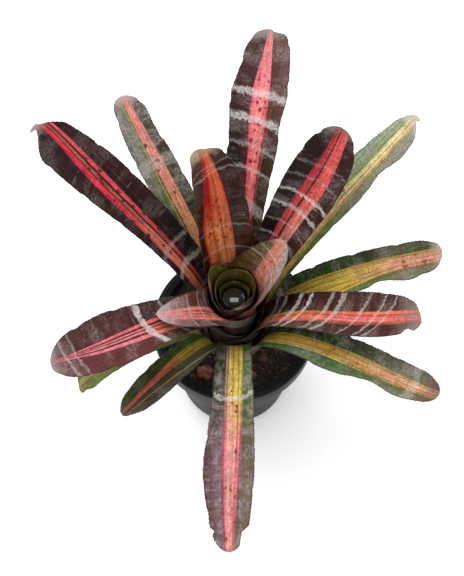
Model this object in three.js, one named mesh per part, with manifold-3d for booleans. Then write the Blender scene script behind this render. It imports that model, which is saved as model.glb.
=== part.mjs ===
// A bromeliad with a rosette of strap leaves, potted in a black plastic nursery pot.
// Millimetres, +Z up. The origin is the centre of the pot's flat underside.
// The plant is seen from its front at -Y, so azimuth 270 is the side that faces the viewer.

import * as THREE from 'three';
import { mergeVertices } from 'three/addons/utils/BufferGeometryUtils.js';
import Module from 'manifold-3d';

const wasm = await Module();
wasm.setup();

// Driving dimensions of the pot
const POT = {
  height: 127,
  baseRadius: 54,
  skirtRadius: 77.3,
  skirtBottom: 109,
  mouthRadius: 68.4,
  wall: 1.7,
  floor: 2.4,
  holes: 8,
  holeRadius: 4.5,
  holeCircle: 39,
};
const ROUND = { pot: 40, core: 30 };

// Driving dimensions of the soil and of what lies on it
const SOIL_LEVEL = 114;
const FIT = 0.35;
const CROWN = { radius: 32, collar: 107, slope: 0.55, rootRadius: 9, rootEnd: 64 };
const STONES = [
  { name: 'lava_rock', at: [-27, -45], size: [8, 7.2, 7], turn: 20, color: '#7a4632' },
  { name: 'lava_chip', at: [-38.5, -49.5], size: [3, 2.8, 2.8], turn: 70, color: '#6b3c2c' },
  { name: 'bark_chip', at: [-42, -8], size: [4.6, 3, 2.8], turn: 100, color: '#9a7048' },
  { name: 'red_stone', at: [16, -48], size: [6, 5, 4.6], turn: 150, color: '#6a4234' },
  { name: 'brown_stone', at: [28, -31], size: [4.6, 4, 3.8], turn: 35, color: '#4d342c' },
];

// Driving dimensions of the leaves
const SHEATH_PITCH = 85;
const STRIP = 0.9;
const BLADE = { mid: 1.3, edge: 0.8, mucro: 2.6 };
const TOOTH = { pitch: 11, height: 1.3, lean: 0.82 };
const TANK = { bottom: 142, level: 185, wallGap: 2 };

// How a blade's width runs at even steps along it, as shares of its breadth
const FORMS = {
  strap: [0.88, 0.94, 1, 0.94, 0.78],
  paddle: [0.7, 0.76, 0.9, 1, 0.8],
  scoop: [1, 0.8, 0.67, 0.55, 0.45],
  tube: [1, 0.95, 0.87, 0.77, 0.65],
};
const FOOT = { outer: 31, step: 2.2 };
const ROUNDING = 0.55;

// One record for each leaf, from the outside of the rosette to its centre, in millimetres and
// degrees. whorl counts the rings of feet inwards and azimuth is the way the leaf faces.
// sheath is the upright part's length and its width at the foot. The blade falls from upright
// to its climb at the end, rise, and a larger droop makes it fall sooner. aside is how far it
// has turned halfway and at its end, and twist how far it has rolled over at its end. cup is
// the angle that the section bends through, at the start and at the end of the blade.
const OPEN_CUP = [70, 45];
const LEAVES = [
  { whorl: 0, azimuth: 205, sheath: [16, 36], blade: 160, rise: -25, droop: 1.5,
    aside: [4, 10], twist: -10, form: 'strap', broad: 32, color: '#5d6a34' },
  { whorl: 0, azimuth: 320, sheath: [18, 38], blade: 220, rise: 0, droop: 1.75,
    aside: [6, 18], twist: 10, form: 'strap', broad: 38, color: '#6c6a36' },
  { whorl: 0, azimuth: 125, sheath: [26, 40], blade: 225, rise: 5, droop: 1.5,
    aside: [-2, -12], twist: -12, form: 'strap', broad: 37, color: '#6a5f42' },
  { whorl: 1, azimuth: 235, sheath: [20, 40], blade: 155, rise: 5, droop: 2,
    aside: [-3, -8], twist: -30, form: 'paddle', broad: 34, color: '#5a4c30' },
  { whorl: 1, azimuth: 0, sheath: [28, 36], blade: 198, rise: 15, droop: 2.25,
    aside: [5, 8], twist: -8, form: 'strap', broad: 38, color: '#6f7234' },
  { whorl: 1, azimuth: 85, sheath: [38, 42], blade: 260, rise: 5, droop: 1.5,
    aside: [-7, 0], twist: 18, form: 'paddle', broad: 50, color: '#4c2c2c' },
  { whorl: 2, azimuth: 270, sheath: [22, 46], blade: 243, rise: 0, droop: 3,
    aside: [-1, 0], twist: -35, form: 'paddle', broad: 43, color: '#6e4a3e' },
  { whorl: 2, azimuth: 30, sheath: [34, 46], blade: 245, rise: 38, droop: 3,
    aside: [4, 2], twist: 22, form: 'paddle', broad: 38, color: '#7c8150' },
  { whorl: 3, azimuth: 150, sheath: [42, 50], blade: 250, rise: 42, droop: 4,
    aside: [3, 12], twist: 12, form: 'paddle', broad: 47, color: '#45262a' },
  { whorl: 3, azimuth: 335, sheath: [40, 50], blade: 190, rise: 28, droop: 3.25,
    aside: [2, 13], twist: 10, form: 'paddle', broad: 47, color: '#4f2f2c' },
  { whorl: 4, azimuth: 212, sheath: [44, 56], blade: 188, rise: 0, droop: 2,
    aside: [1, -14], twist: -5, form: 'paddle', broad: 51, color: '#573336' },
  { whorl: 4, azimuth: 35, sheath: [50, 52], blade: 200, rise: 38, droop: 1.25,
    aside: [7, 26], twist: -28, form: 'paddle', broad: 51, cup: [90, 45], color: '#4c2a2a' },
  { whorl: 5, azimuth: 105, sheath: [56, 56], blade: 165, rise: 38, droop: 0.45,
    aside: [3, 20], twist: -10, form: 'strap', broad: 51, cup: [100, 50], color: '#5a2c22' },
  { whorl: 6, azimuth: 230, sheath: [66, 64], blade: 80, rise: 4, droop: 1.25,
    aside: [-27, -46], twist: -10, form: 'scoop', broad: 60, cup: [110, 30], color: '#7a4a42' },
  { whorl: 7, azimuth: 20, sheath: [78, 60], blade: 70, rise: 45, droop: 0.7,
    aside: [6, 14], twist: -30, form: 'scoop', broad: 72, cup: [120, 70], color: '#8a5540' },
  { whorl: 8, azimuth: 140, sheath: [72, 54], blade: 24, rise: 58, droop: 1,
    aside: [-4, -8], twist: 0, form: 'scoop', broad: 58, cup: [150, 90], color: '#6d5a2a' },
  { whorl: 9, azimuth: 55, sheath: [72, 46], blade: 14, rise: 70, droop: 0.5,
    aside: [0, 0], twist: 0, form: 'tube', broad: 58, cup: [190, 150], color: '#665426' },
  { whorl: 11, azimuth: 90, sheath: [66, 40], blade: 4, rise: 77, droop: 2,
    aside: [0, 0], twist: 0, form: 'tube', broad: 69, cup: [230, 190], color: '#5e6024' },
];

const radians = THREE.MathUtils.degToRad;

// Value at u, from 0 to 1, on a smooth curve through evenly spaced values
function through(values, u) {
  const last = values.length - 1;
  const x = THREE.MathUtils.clamp(u, 0, 1) * last;
  const i = Math.min(Math.floor(x), last - 1);
  const f = x - i;
  const a = values[Math.max(i - 1, 0)];
  const b = values[i];
  const c = values[i + 1];
  const d = values[Math.min(i + 2, last)];
  const slope = (c - a) * f;
  const bend = (2 * a - 5 * b + 4 * c - d) * f * f;
  return b + 0.5 * (slope + bend + (3 * b - a - 3 * c + d) * f * f * f);
}

// Height of the crown's cone at a distance from the plant's axis
function crownHeight(radius) {
  return CROWN.collar + (CROWN.radius - radius) * CROWN.slope;
}

// Distance of a leaf's foot from the plant's axis
const footRadius = (leaf) => FOOT.outer - FOOT.step * leaf.whorl;

// Widths of a blade at even steps along it, and the length over which its end rounds off
const bladeWidths = (leaf) => FORMS[leaf.form].map((share) => share * leaf.broad);
const rounding = (leaf) => ROUNDING * leaf.broad;

// A closed geometry from points and triangles, turned so that its faces point outwards
function solid(points, triangles) {
  const geometry = new THREE.BufferGeometry();
  const places = points.flatMap((p) => p.toArray());
  geometry.setAttribute('position', new THREE.Float32BufferAttribute(places, 3));
  geometry.setIndex(triangles.flat());
  return closed(geometry);
}

// Vertices merged, empty triangles dropped, and faces pointing outwards
function closed(source) {
  source.deleteAttribute('normal');
  source.deleteAttribute('uv');
  const geometry = mergeVertices(source, 1e-4);
  const index = geometry.getIndex().array;
  const position = geometry.getAttribute('position');
  const corner = [0, 1, 2].map(() => new THREE.Vector3());
  const kept = [];
  let volume = 0;
  for (let i = 0; i < index.length; i += 3) {
    const [a, b, c] = index.slice(i, i + 3);
    if (a === b || b === c || a === c) continue;
    [a, b, c].forEach((v, n) => corner[n].fromBufferAttribute(position, v));
    volume += corner[0].dot(corner[1].cross(corner[2]));
    kept.push([a, b, c]);
  }
  if (volume < 0) kept.forEach((t) => t.reverse());
  geometry.setIndex(kept.flat());
  geometry.computeVertexNormals();
  return geometry;
}

// A solid of revolution about Z, from a profile of [radius, height] that starts and ends on the axis
function turned(profile, segments) {
  const points = profile.map(([radius, height]) => new THREE.Vector2(radius, height));
  return new THREE.LatheGeometry(points, segments).rotateX(Math.PI / 2);
}

// The manifold solid of a closed geometry, and back again
function toManifold(geometry) {
  const vertProperties = new Float32Array(geometry.getAttribute('position').array);
  const triVerts = new Uint32Array(geometry.getIndex().array);
  return new wasm.Manifold(new wasm.Mesh({ numProp: 3, vertProperties, triVerts }));
}

function fromManifold(manifold) {
  const mesh = manifold.getMesh();
  const geometry = new THREE.BufferGeometry();
  geometry.setAttribute('position', new THREE.Float32BufferAttribute(mesh.vertProperties, 3));
  geometry.setIndex(Array.from(mesh.triVerts));
  geometry.computeVertexNormals();
  return geometry;
}

// Radius of the pot's inner wall at a height
function potInside(height) {
  const foot = POT.baseRadius - POT.wall;
  const shoulder = POT.mouthRadius - 1;
  if (height < POT.skirtBottom) {
    return foot + ((shoulder - foot) * (height - POT.floor)) / (POT.skirtBottom - POT.floor);
  }
  return shoulder + (height - POT.skirtBottom) / (POT.height - POT.skirtBottom);
}

// The pot: a tapered cup with a turned-down rim, a bead round its mouth and drainage holes
function potGeometry() {
  const top = POT.height;
  const skirt = POT.skirtRadius;
  const mouth = POT.mouthRadius;
  const under = POT.skirtBottom;
  const body = potInside(under) + POT.wall;
  const shell = closed(turned([
    [0, 0],
    [POT.baseRadius - 2, 0],
    [POT.baseRadius, 1.6],
    [body, under],
    [body + 0.7, top - 2.6],
    [skirt - 1.9, top - 2.6],
    [skirt - 2.4, under + 0.3],
    [skirt - 1.6, under],
    [skirt - 0.7, under + 0.3],
    [skirt, top - 2.2],
    [skirt - 0.4, top - 0.8],
    [skirt - 1.6, top],
    [mouth + 3.9, top],
    [mouth + 3.2, top - 0.9],
    [mouth + 2.2, top - 0.9],
    [mouth + 1.5, top - 0.2],
    [mouth + 0.5, top - 0.3],
    [mouth, top - 1.3],
    [potInside(under), under],
    [potInside(POT.floor + 3), POT.floor + 3],
    [potInside(POT.floor) - 2.6, POT.floor],
    [0, POT.floor],
  ], ROUND.pot));
  let pot = toManifold(shell);
  for (let i = 0; i < POT.holes; i += 1) {
    const angle = (i * 2 * Math.PI) / POT.holes;
    const drill = new THREE.CylinderGeometry(POT.holeRadius, POT.holeRadius, 4 * POT.floor, 16);
    drill.rotateX(Math.PI / 2);
    drill.translate(POT.holeCircle * Math.cos(angle), POT.holeCircle * Math.sin(angle), 0);
    pot = pot.subtract(toManifold(closed(drill)));
  }
  return fromManifold(pot);
}

// Crumbled relief of the soil's surface, flat at its rims and under each stone
function soilRelief(x, y) {
  const radius = Math.hypot(x, y);
  const rim = THREE.MathUtils.smoothstep(radius, CROWN.radius + 2, CROWN.radius + 8)
    * (1 - THREE.MathUtils.smoothstep(radius, potInside(SOIL_LEVEL) - 6, potInside(SOIL_LEVEL) - 1));
  const clear = STONES.reduce((least, stone) => {
    const away = Math.hypot(x - stone.at[0], y - stone.at[1]);
    return Math.min(least, THREE.MathUtils.smoothstep(away, stone.size[0] + 2, stone.size[0] + 8));
  }, 1);
  return rim * clear * (1.1 * Math.sin(0.33 * x + 1) * Math.cos(0.29 * y) + 0.9 * Math.sin(0.55 * (x - y)));
}

// The soil: fills the pot, with a seat for the plant's crown and a hole for its root
function soilGeometry() {
  const seat = CROWN.radius + 1;
  const edge = potInside(SOIL_LEVEL) - FIT;
  const rings = 6;
  const profile = [
    [0, POT.floor + FIT],
    [potInside(POT.floor) - 2.6 - FIT, POT.floor + FIT],
    [potInside(POT.floor + 3) - FIT, POT.floor + 3 + FIT],
    [potInside(POT.skirtBottom) - FIT, POT.skirtBottom],
  ];
  for (let i = 0; i <= rings; i += 1) {
    profile.push([edge + ((seat - edge) * i) / rings, SOIL_LEVEL]);
  }
  profile.push(
    [seat, CROWN.collar - 0.5],
    [CROWN.rootRadius + 0.4, CROWN.collar - 0.5],
    [CROWN.rootRadius + 0.4, CROWN.rootEnd - 0.4],
    [0, CROWN.rootEnd - 0.4],
  );
  const geometry = closed(turned(profile, ROUND.pot));
  const position = geometry.getAttribute('position');
  for (let i = 0; i < position.count; i += 1) {
    if (Math.abs(position.getZ(i) - SOIL_LEVEL) < 0.01) {
      position.setZ(i, SOIL_LEVEL + soilRelief(position.getX(i), position.getY(i)));
    }
  }
  geometry.computeVertexNormals();
  return geometry;
}

// The short stem: a root in the soil and the low cone that the leaves grow from
function stemGeometry() {
  return closed(turned([
    [0, CROWN.rootEnd],
    [CROWN.rootRadius - 3, CROWN.rootEnd],
    [CROWN.rootRadius, CROWN.rootEnd + 8],
    [CROWN.rootRadius, CROWN.collar - 0.1],
    [CROWN.radius - 0.4, CROWN.collar - 0.1],
    [CROWN.radius, crownHeight(CROWN.radius) + 0.2],
    [5, crownHeight(5)],
    [4, crownHeight(4) + 1.5],
    [0, crownHeight(4) + 2.5],
  ], ROUND.core));
}

// Centreline, side direction and upward direction of a leaf, by distance along it
function leafLine(leaf) {
  const [sheath] = leaf.sheath;
  const length = sheath + leaf.blade;
  const steps = 80;
  const along = (s) => THREE.MathUtils.clamp((s - sheath) / leaf.blade, 0, 1);
  const pitch = (s) => radians(leaf.rise + (SHEATH_PITCH - leaf.rise) * (1 - along(s)) ** leaf.droop);
  const heading = (s) => radians(leaf.azimuth + through([0, ...leaf.aside], along(s)));
  const forward = (s) => {
    const level = Math.cos(pitch(s));
    return new THREE.Vector3(level * Math.cos(heading(s)), level * Math.sin(heading(s)), Math.sin(pitch(s)));
  };
  const foot = radians(leaf.azimuth);
  const base = footRadius(leaf);
  const start = crownHeight(base - 0.6) + 0.6;
  const places = [new THREE.Vector3(base * Math.cos(foot), base * Math.sin(foot), start)];
  for (let i = 0; i < steps; i += 1) {
    const middle = ((i + 0.5) * length) / steps;
    places.push(places[i].clone().addScaledVector(forward(middle), length / steps));
  }
  const place = (s) => {
    const x = THREE.MathUtils.clamp((s * steps) / length, 0, steps - 1e-6);
    const i = Math.floor(x);
    return places[i].clone().lerp(places[i + 1], x - i);
  };
  const frame = (s) => {
    const roll = radians(leaf.twist * along(s) ** 2);
    const side = new THREE.Vector3(Math.sin(heading(s)), -Math.cos(heading(s)), 0);
    const up = side.clone().cross(forward(s));
    return {
      side: side.clone().multiplyScalar(Math.cos(roll)).addScaledVector(up, Math.sin(roll)),
      up: up.clone().multiplyScalar(Math.cos(roll)).addScaledVector(side, -Math.sin(roll)),
    };
  };
  return { length, sheath, along, forward, place, frame };
}

// Width of a leaf at a distance along it, with the wide foot and the rounded end
function leafWidth(leaf, line, s) {
  const [sheath, foot] = leaf.sheath;
  const spread = 1 - THREE.MathUtils.smoothstep(s / (1.15 * sheath), 0, 1);
  const widths = bladeWidths(leaf);
  const blade = through(widths, line.along(s)) + (foot - widths[0]) * spread;
  const rest = THREE.MathUtils.clamp((line.length - s) / rounding(leaf), 0, 1);
  return blade * Math.sqrt(1 - (1 - rest) ** 2.2);
}

// Curvature of the section: round the plant's axis at the sheath, a shallow cup on the blade
function leafCurvature(leaf, line, s) {
  const u = line.along(s);
  const axis = line.place(s);
  const [near, far] = leaf.cup ?? OPEN_CUP;
  const cup = radians(near + (far - near) * u) / through(bladeWidths(leaf), Math.min(u, 0.75));
  const open = THREE.MathUtils.smoothstep(u, 0, 0.35);
  return (1 - open) / Math.hypot(axis.x, axis.y) + open * Math.min(cup, 1 / 18);
}

// Stations along a leaf: sparse on the sheath, a tooth apart on the blade, close at the end
function leafStations(leaf, line) {
  const round = line.length - rounding(leaf);
  const sheathSteps = Math.ceil(Math.min(line.sheath, round) / 13);
  const bladeSteps = Math.max(Math.ceil((round - line.sheath) / TOOTH.pitch), 0);
  const stations = [];
  for (let i = 0; i < sheathSteps; i += 1) {
    stations.push((i * Math.min(line.sheath, round)) / sheathSteps);
  }
  for (let i = 0; i < bladeSteps; i += 1) {
    stations.push(line.sheath + (i * (round - line.sheath)) / bladeSteps);
  }
  return [...stations, ...[1, 0.66, 0.36, 0.14, 0.03].map((rest) => line.length - rest * rounding(leaf))];
}

// A leaf: a thin cupped blade with a toothed margin and a small hard point at its end
function leafGeometry(leaf) {
  const line = leafLine(leaf);
  const stations = leafStations(leaf, line);
  const broadest = Math.max(leaf.broad, leaf.sheath[1]);
  const across = 2 * Math.ceil(broadest / (footRadius(leaf) + 5.5) / STRIP);
  const points = [];
  const triangles = [];
  const rim = [[], []];
  stations.forEach((s) => {
    const { side, up } = line.frame(s);
    const curvature = leafCurvature(leaf, line, s);
    for (let j = 0; j <= across; j += 1) {
      const v = (2 * j) / across - 1;
      const turn = 0.5 * v * leafWidth(leaf, line, s) * curvature;
      const middle = line.place(s)
        .addScaledVector(side, Math.sin(turn) / curvature)
        .addScaledVector(up, (1 - Math.cos(turn)) / curvature);
      const normal = up.clone().multiplyScalar(Math.cos(turn)).addScaledVector(side, -Math.sin(turn));
      const half = 0.5 * (BLADE.edge + (BLADE.mid - BLADE.edge) * (1 - v * v));
      points.push(middle.clone().addScaledVector(normal, half), middle.clone().addScaledVector(normal, -half));
      if (j === 0 || j === across) {
        const outward = side.clone().multiplyScalar(Math.cos(turn)).addScaledVector(up, Math.sin(turn));
        rim[j === 0 ? 0 : 1].push({ middle, outward: outward.multiplyScalar(Math.sign(v)) });
      }
    }
  });
  const row = across + 1;
  const at = (i, j, face) => 2 * (i * row + j) + face;
  const last = stations.length - 1;
  const quad = (a, b, c, d) => triangles.push([a, b, c], [a, c, d]);
  for (let i = 0; i < last; i += 1) {
    for (let j = 0; j < across; j += 1) {
      quad(at(i, j, 0), at(i, j + 1, 0), at(i + 1, j + 1, 0), at(i + 1, j, 0));
      triangles.push([at(i, j, 1), at(i + 1, j + 1, 1), at(i, j + 1, 1)]);
      triangles.push([at(i, j, 1), at(i + 1, j, 1), at(i + 1, j + 1, 1)]);
    }
    const toothed = stations[i] > line.sheath + TOOTH.pitch && i < last - 1;
    [0, across].forEach((j, n) => {
      const loop = [at(i, j, 0), at(i + 1, j, 0), at(i + 1, j, 1), at(i, j, 1)];
      if (n === 1) loop.reverse();
      if (!toothed) {
        quad(...loop);
        return;
      }
      const here = rim[n][i];
      const next = rim[n][i + 1];
      const tooth = here.middle.clone().lerp(next.middle, TOOTH.lean);
      tooth.addScaledVector(next.outward, TOOTH.height);
      points.push(tooth);
      loop.forEach((from, k) => triangles.push([from, loop[(k + 1) % 4], points.length - 1]));
    });
  }
  for (let j = 0; j < across; j += 1) {
    quad(at(0, j, 1), at(0, j + 1, 1), at(0, j + 1, 0), at(0, j, 0));
  }
  const end = line.length;
  points.push(line.place(end).addScaledVector(line.forward(end), BLADE.mucro));
  const point = points.length - 1;
  for (let j = 0; j < across; j += 1) {
    triangles.push([at(last, j, 0), at(last, j + 1, 0), point]);
    triangles.push([at(last, j + 1, 1), at(last, j, 1), point]);
  }
  triangles.push([at(last, 0, 1), at(last, 0, 0), point], [at(last, across, 0), at(last, across, 1), point]);
  return solid(points, triangles);
}

// The water held in the central cup of leaves
function waterGeometry() {
  const inner = LEAVES[LEAVES.length - 1];
  const base = footRadius(inner);
  const start = crownHeight(base);
  const radius = (z) => base + (z - start) / Math.tan(radians(SHEATH_PITCH)) - TANK.wallGap;
  return closed(turned([
    [0, TANK.bottom],
    [radius(TANK.bottom) - 1, TANK.bottom],
    [radius(TANK.bottom), TANK.bottom + 1],
    [radius(TANK.level), TANK.level],
    [0, TANK.level],
  ], ROUND.core));
}

// A stone or chip: a knobbly lump with a flat foot, on the soil
function stoneGeometry(stone, number) {
  const geometry = closed(new THREE.IcosahedronGeometry(1, 1));
  const position = geometry.getAttribute('position');
  const p = new THREE.Vector3();
  const turn = radians(stone.turn);
  for (let i = 0; i < position.count; i += 1) {
    p.fromBufferAttribute(position, i);
    p.multiplyScalar(1 + 0.12 * Math.sin(3 * p.x + 5 * p.y + 7 * number) + 0.08 * Math.cos(6 * p.z + number));
    p.multiply(new THREE.Vector3(...stone.size));
    p.applyAxisAngle(new THREE.Vector3(0, 0, 1), turn);
    p.z = Math.max(p.z, -0.45 * stone.size[2]) + 0.45 * stone.size[2];
    position.setXYZ(i, p.x + stone.at[0], p.y + stone.at[1], p.z + SOIL_LEVEL + FIT);
  }
  geometry.computeVertexNormals();
  return geometry;
}

function piece(name, geometry, color, roughness) {
  const material = new THREE.MeshStandardMaterial({ color, roughness, metalness: 0 });
  const mesh = new THREE.Mesh(geometry, material);
  mesh.name = name;
  return mesh;
}

const plant = new THREE.Group();
plant.add(piece('pot', potGeometry(), '#1c1c1e', 0.5));
plant.add(piece('soil', soilGeometry(), '#2a1d17', 0.95));
plant.add(piece('stem', stemGeometry(), '#4a3a24', 0.8));
LEAVES.forEach((leaf, i) => {
  const name = `leaf_${String(i + 1).padStart(2, '0')}`;
  plant.add(piece(name, leafGeometry(leaf), leaf.color, 0.45));
});
plant.add(piece('tank_water', waterGeometry(), '#39402a', 0.05));
STONES.forEach((stone, i) => {
  plant.add(piece(stone.name, stoneGeometry(stone, i), stone.color, 0.9));
});

export default plant;
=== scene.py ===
"""A bromeliad in a black nursery pot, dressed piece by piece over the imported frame."""

import math

import bmesh
import bpy
import numpy as np
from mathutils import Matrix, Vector, noise


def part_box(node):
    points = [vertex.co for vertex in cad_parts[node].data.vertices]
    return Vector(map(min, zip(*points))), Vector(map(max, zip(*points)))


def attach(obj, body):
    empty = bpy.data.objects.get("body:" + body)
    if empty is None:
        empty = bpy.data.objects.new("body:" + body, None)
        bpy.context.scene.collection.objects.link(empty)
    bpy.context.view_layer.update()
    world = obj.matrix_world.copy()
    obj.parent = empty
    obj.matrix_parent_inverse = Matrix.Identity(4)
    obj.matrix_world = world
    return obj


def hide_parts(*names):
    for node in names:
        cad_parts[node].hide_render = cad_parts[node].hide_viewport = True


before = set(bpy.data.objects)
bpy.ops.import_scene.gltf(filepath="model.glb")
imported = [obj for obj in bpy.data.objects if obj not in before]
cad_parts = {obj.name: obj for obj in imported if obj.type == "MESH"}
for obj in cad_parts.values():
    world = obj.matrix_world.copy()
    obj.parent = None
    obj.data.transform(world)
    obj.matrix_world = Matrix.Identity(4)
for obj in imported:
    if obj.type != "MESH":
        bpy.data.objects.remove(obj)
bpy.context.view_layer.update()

bl_info = {
    "name": "Potted bromeliad",
    "version": (1, 0, 0),
    "blender": (4, 5, 0),
    "location": "View3D > Sidebar > Bromeliad",
    "description": "Makes a bromeliad with striped strap leaves in a nursery pot",
    "category": "Add Mesh",
}

MM = 0.001
POT_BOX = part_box("pot")
SOIL_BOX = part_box("soil")
WATER_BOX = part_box("tank_water")
SHEATH_PITCH = 85
CROWN = {"radius": 32, "collar": 107, "slope": 0.55, "root_radius": 9, "root_end": 64}
OPEN_CUP = (70, 45)
TIGHTEST_BEND = 18

# The pot, the soil and the stones' feet, in millimetres, as in the solids where both have them
POT = {"wall": 1.7, "floor": 2.4, "rim": 8.9, "hole_radius": 4.5, "hole_circle": 39}
SOIL = {"floor": 2.75, "foot_radius": 49.35, "skirt": 109, "bed_radius": 65.5}
STONE_FOOT = 114.35
FULL_TURN = 6.28

# The camera's place in metres, its focal length and picture height in pixels, its sensor in mm
CAMERA = {"place": (-0.0019, -0.4645, 1.1796), "focal": 1212, "picture": 576, "sensor": 36}

# Where the lights stand, what they aim at and how large they are, in metres
KEY_LIGHT = {"place": (-0.9, 0.7, 1.9), "aim": (0, 0, 0.15), "size": (1.1, 1.1)}
WINDOW = {"place": (0.0, 0.66, 1.5), "aim": (0, 0, 0.185), "size": (0.16, 0.1)}
WINDOW_POWER = 1.6

# How a blade's width runs at even steps along it, as shares of its breadth
FORMS = {
    "strap": (0.88, 0.94, 1, 0.94, 0.78),
    "paddle": (0.7, 0.76, 0.9, 1, 0.8),
    "scoop": (1, 0.8, 0.67, 0.55, 0.45),
    "tube": (1, 0.95, 0.87, 0.77, 0.65),
}
FOOT = {"outer": 31, "step": 2.2}
ROUNDING = 0.55

# One record for each leaf, from the outside of the rosette to its centre, in millimetres and
# degrees, as in the solids. whorl counts the rings of feet inwards and azimuth is the way the
# leaf faces. sheath is the upright part's length and foot width. The blade falls from upright
# to its climb at the end, rise, and a larger droop makes it fall sooner. aside is how far it
# has turned halfway and at its end, and twist how far it has rolled over at its end.
LEAVES = [
    dict(whorl=0, azimuth=205, sheath=(16, 36), blade=160, rise=-25, droop=1.5, aside=(4, 10),
         twist=-10, form="strap", broad=32),
    dict(whorl=0, azimuth=320, sheath=(18, 38), blade=220, rise=0, droop=1.75, aside=(6, 18),
         twist=10, form="strap", broad=38),
    dict(whorl=0, azimuth=125, sheath=(26, 40), blade=225, rise=5, droop=1.5, aside=(-2, -12),
         twist=-12, form="strap", broad=37),
    dict(whorl=1, azimuth=235, sheath=(20, 40), blade=155, rise=5, droop=2, aside=(-3, -8),
         twist=-30, form="paddle", broad=34),
    dict(whorl=1, azimuth=0, sheath=(28, 36), blade=198, rise=15, droop=2.25, aside=(5, 8),
         twist=-8, form="strap", broad=38),
    dict(whorl=1, azimuth=85, sheath=(38, 42), blade=260, rise=5, droop=1.5, aside=(-7, 0),
         twist=18, form="paddle", broad=50),
    dict(whorl=2, azimuth=270, sheath=(22, 46), blade=243, rise=0, droop=3, aside=(-1, 0),
         twist=-35, form="paddle", broad=43),
    dict(whorl=2, azimuth=30, sheath=(34, 46), blade=245, rise=38, droop=3, aside=(4, 2),
         twist=22, form="paddle", broad=38),
    dict(whorl=3, azimuth=150, sheath=(42, 50), blade=250, rise=42, droop=4, aside=(3, 12),
         twist=12, form="paddle", broad=47),
    dict(whorl=3, azimuth=335, sheath=(40, 50), blade=190, rise=28, droop=3.25, aside=(2, 13),
         twist=10, form="paddle", broad=47),
    dict(whorl=4, azimuth=212, sheath=(44, 56), blade=188, rise=0, droop=2, aside=(1, -14),
         twist=-5, form="paddle", broad=51),
    dict(whorl=4, azimuth=35, sheath=(50, 52), blade=200, rise=38, droop=1.25, aside=(7, 26),
         twist=-28, form="paddle", broad=51, cup=(90, 45)),
    dict(whorl=5, azimuth=105, sheath=(56, 56), blade=165, rise=38, droop=0.45, aside=(3, 20),
         twist=-10, form="strap", broad=51, cup=(100, 50)),
    dict(whorl=6, azimuth=230, sheath=(66, 64), blade=80, rise=4, droop=1.25, aside=(-27, -46),
         twist=-10, form="scoop", broad=60, cup=(110, 30)),
    dict(whorl=7, azimuth=20, sheath=(78, 60), blade=70, rise=45, droop=0.7, aside=(6, 14),
         twist=-30, form="scoop", broad=72, cup=(120, 70)),
    dict(whorl=8, azimuth=140, sheath=(72, 54), blade=24, rise=58, droop=1, aside=(-4, -8),
         twist=0, form="scoop", broad=58, cup=(150, 90)),
    dict(whorl=9, azimuth=55, sheath=(72, 46), blade=14, rise=70, droop=0.5, aside=(0, 0),
         twist=0, form="tube", broad=58, cup=(190, 150)),
    dict(whorl=11, azimuth=90, sheath=(66, 40), blade=4, rise=77, droop=2, aside=(0, 0),
         twist=0, form="tube", broad=69, cup=(230, 190)),
]

# The leaves that are dark red-brown, what their sides are multiplied by, and the crossbands' tone
DARK_LEAVES = (5, 8, 9, 10, 11, 12)
DARK_TINT = "#e8b0a8"
POWDER_WHITE = "#e4dcd6"

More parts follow.
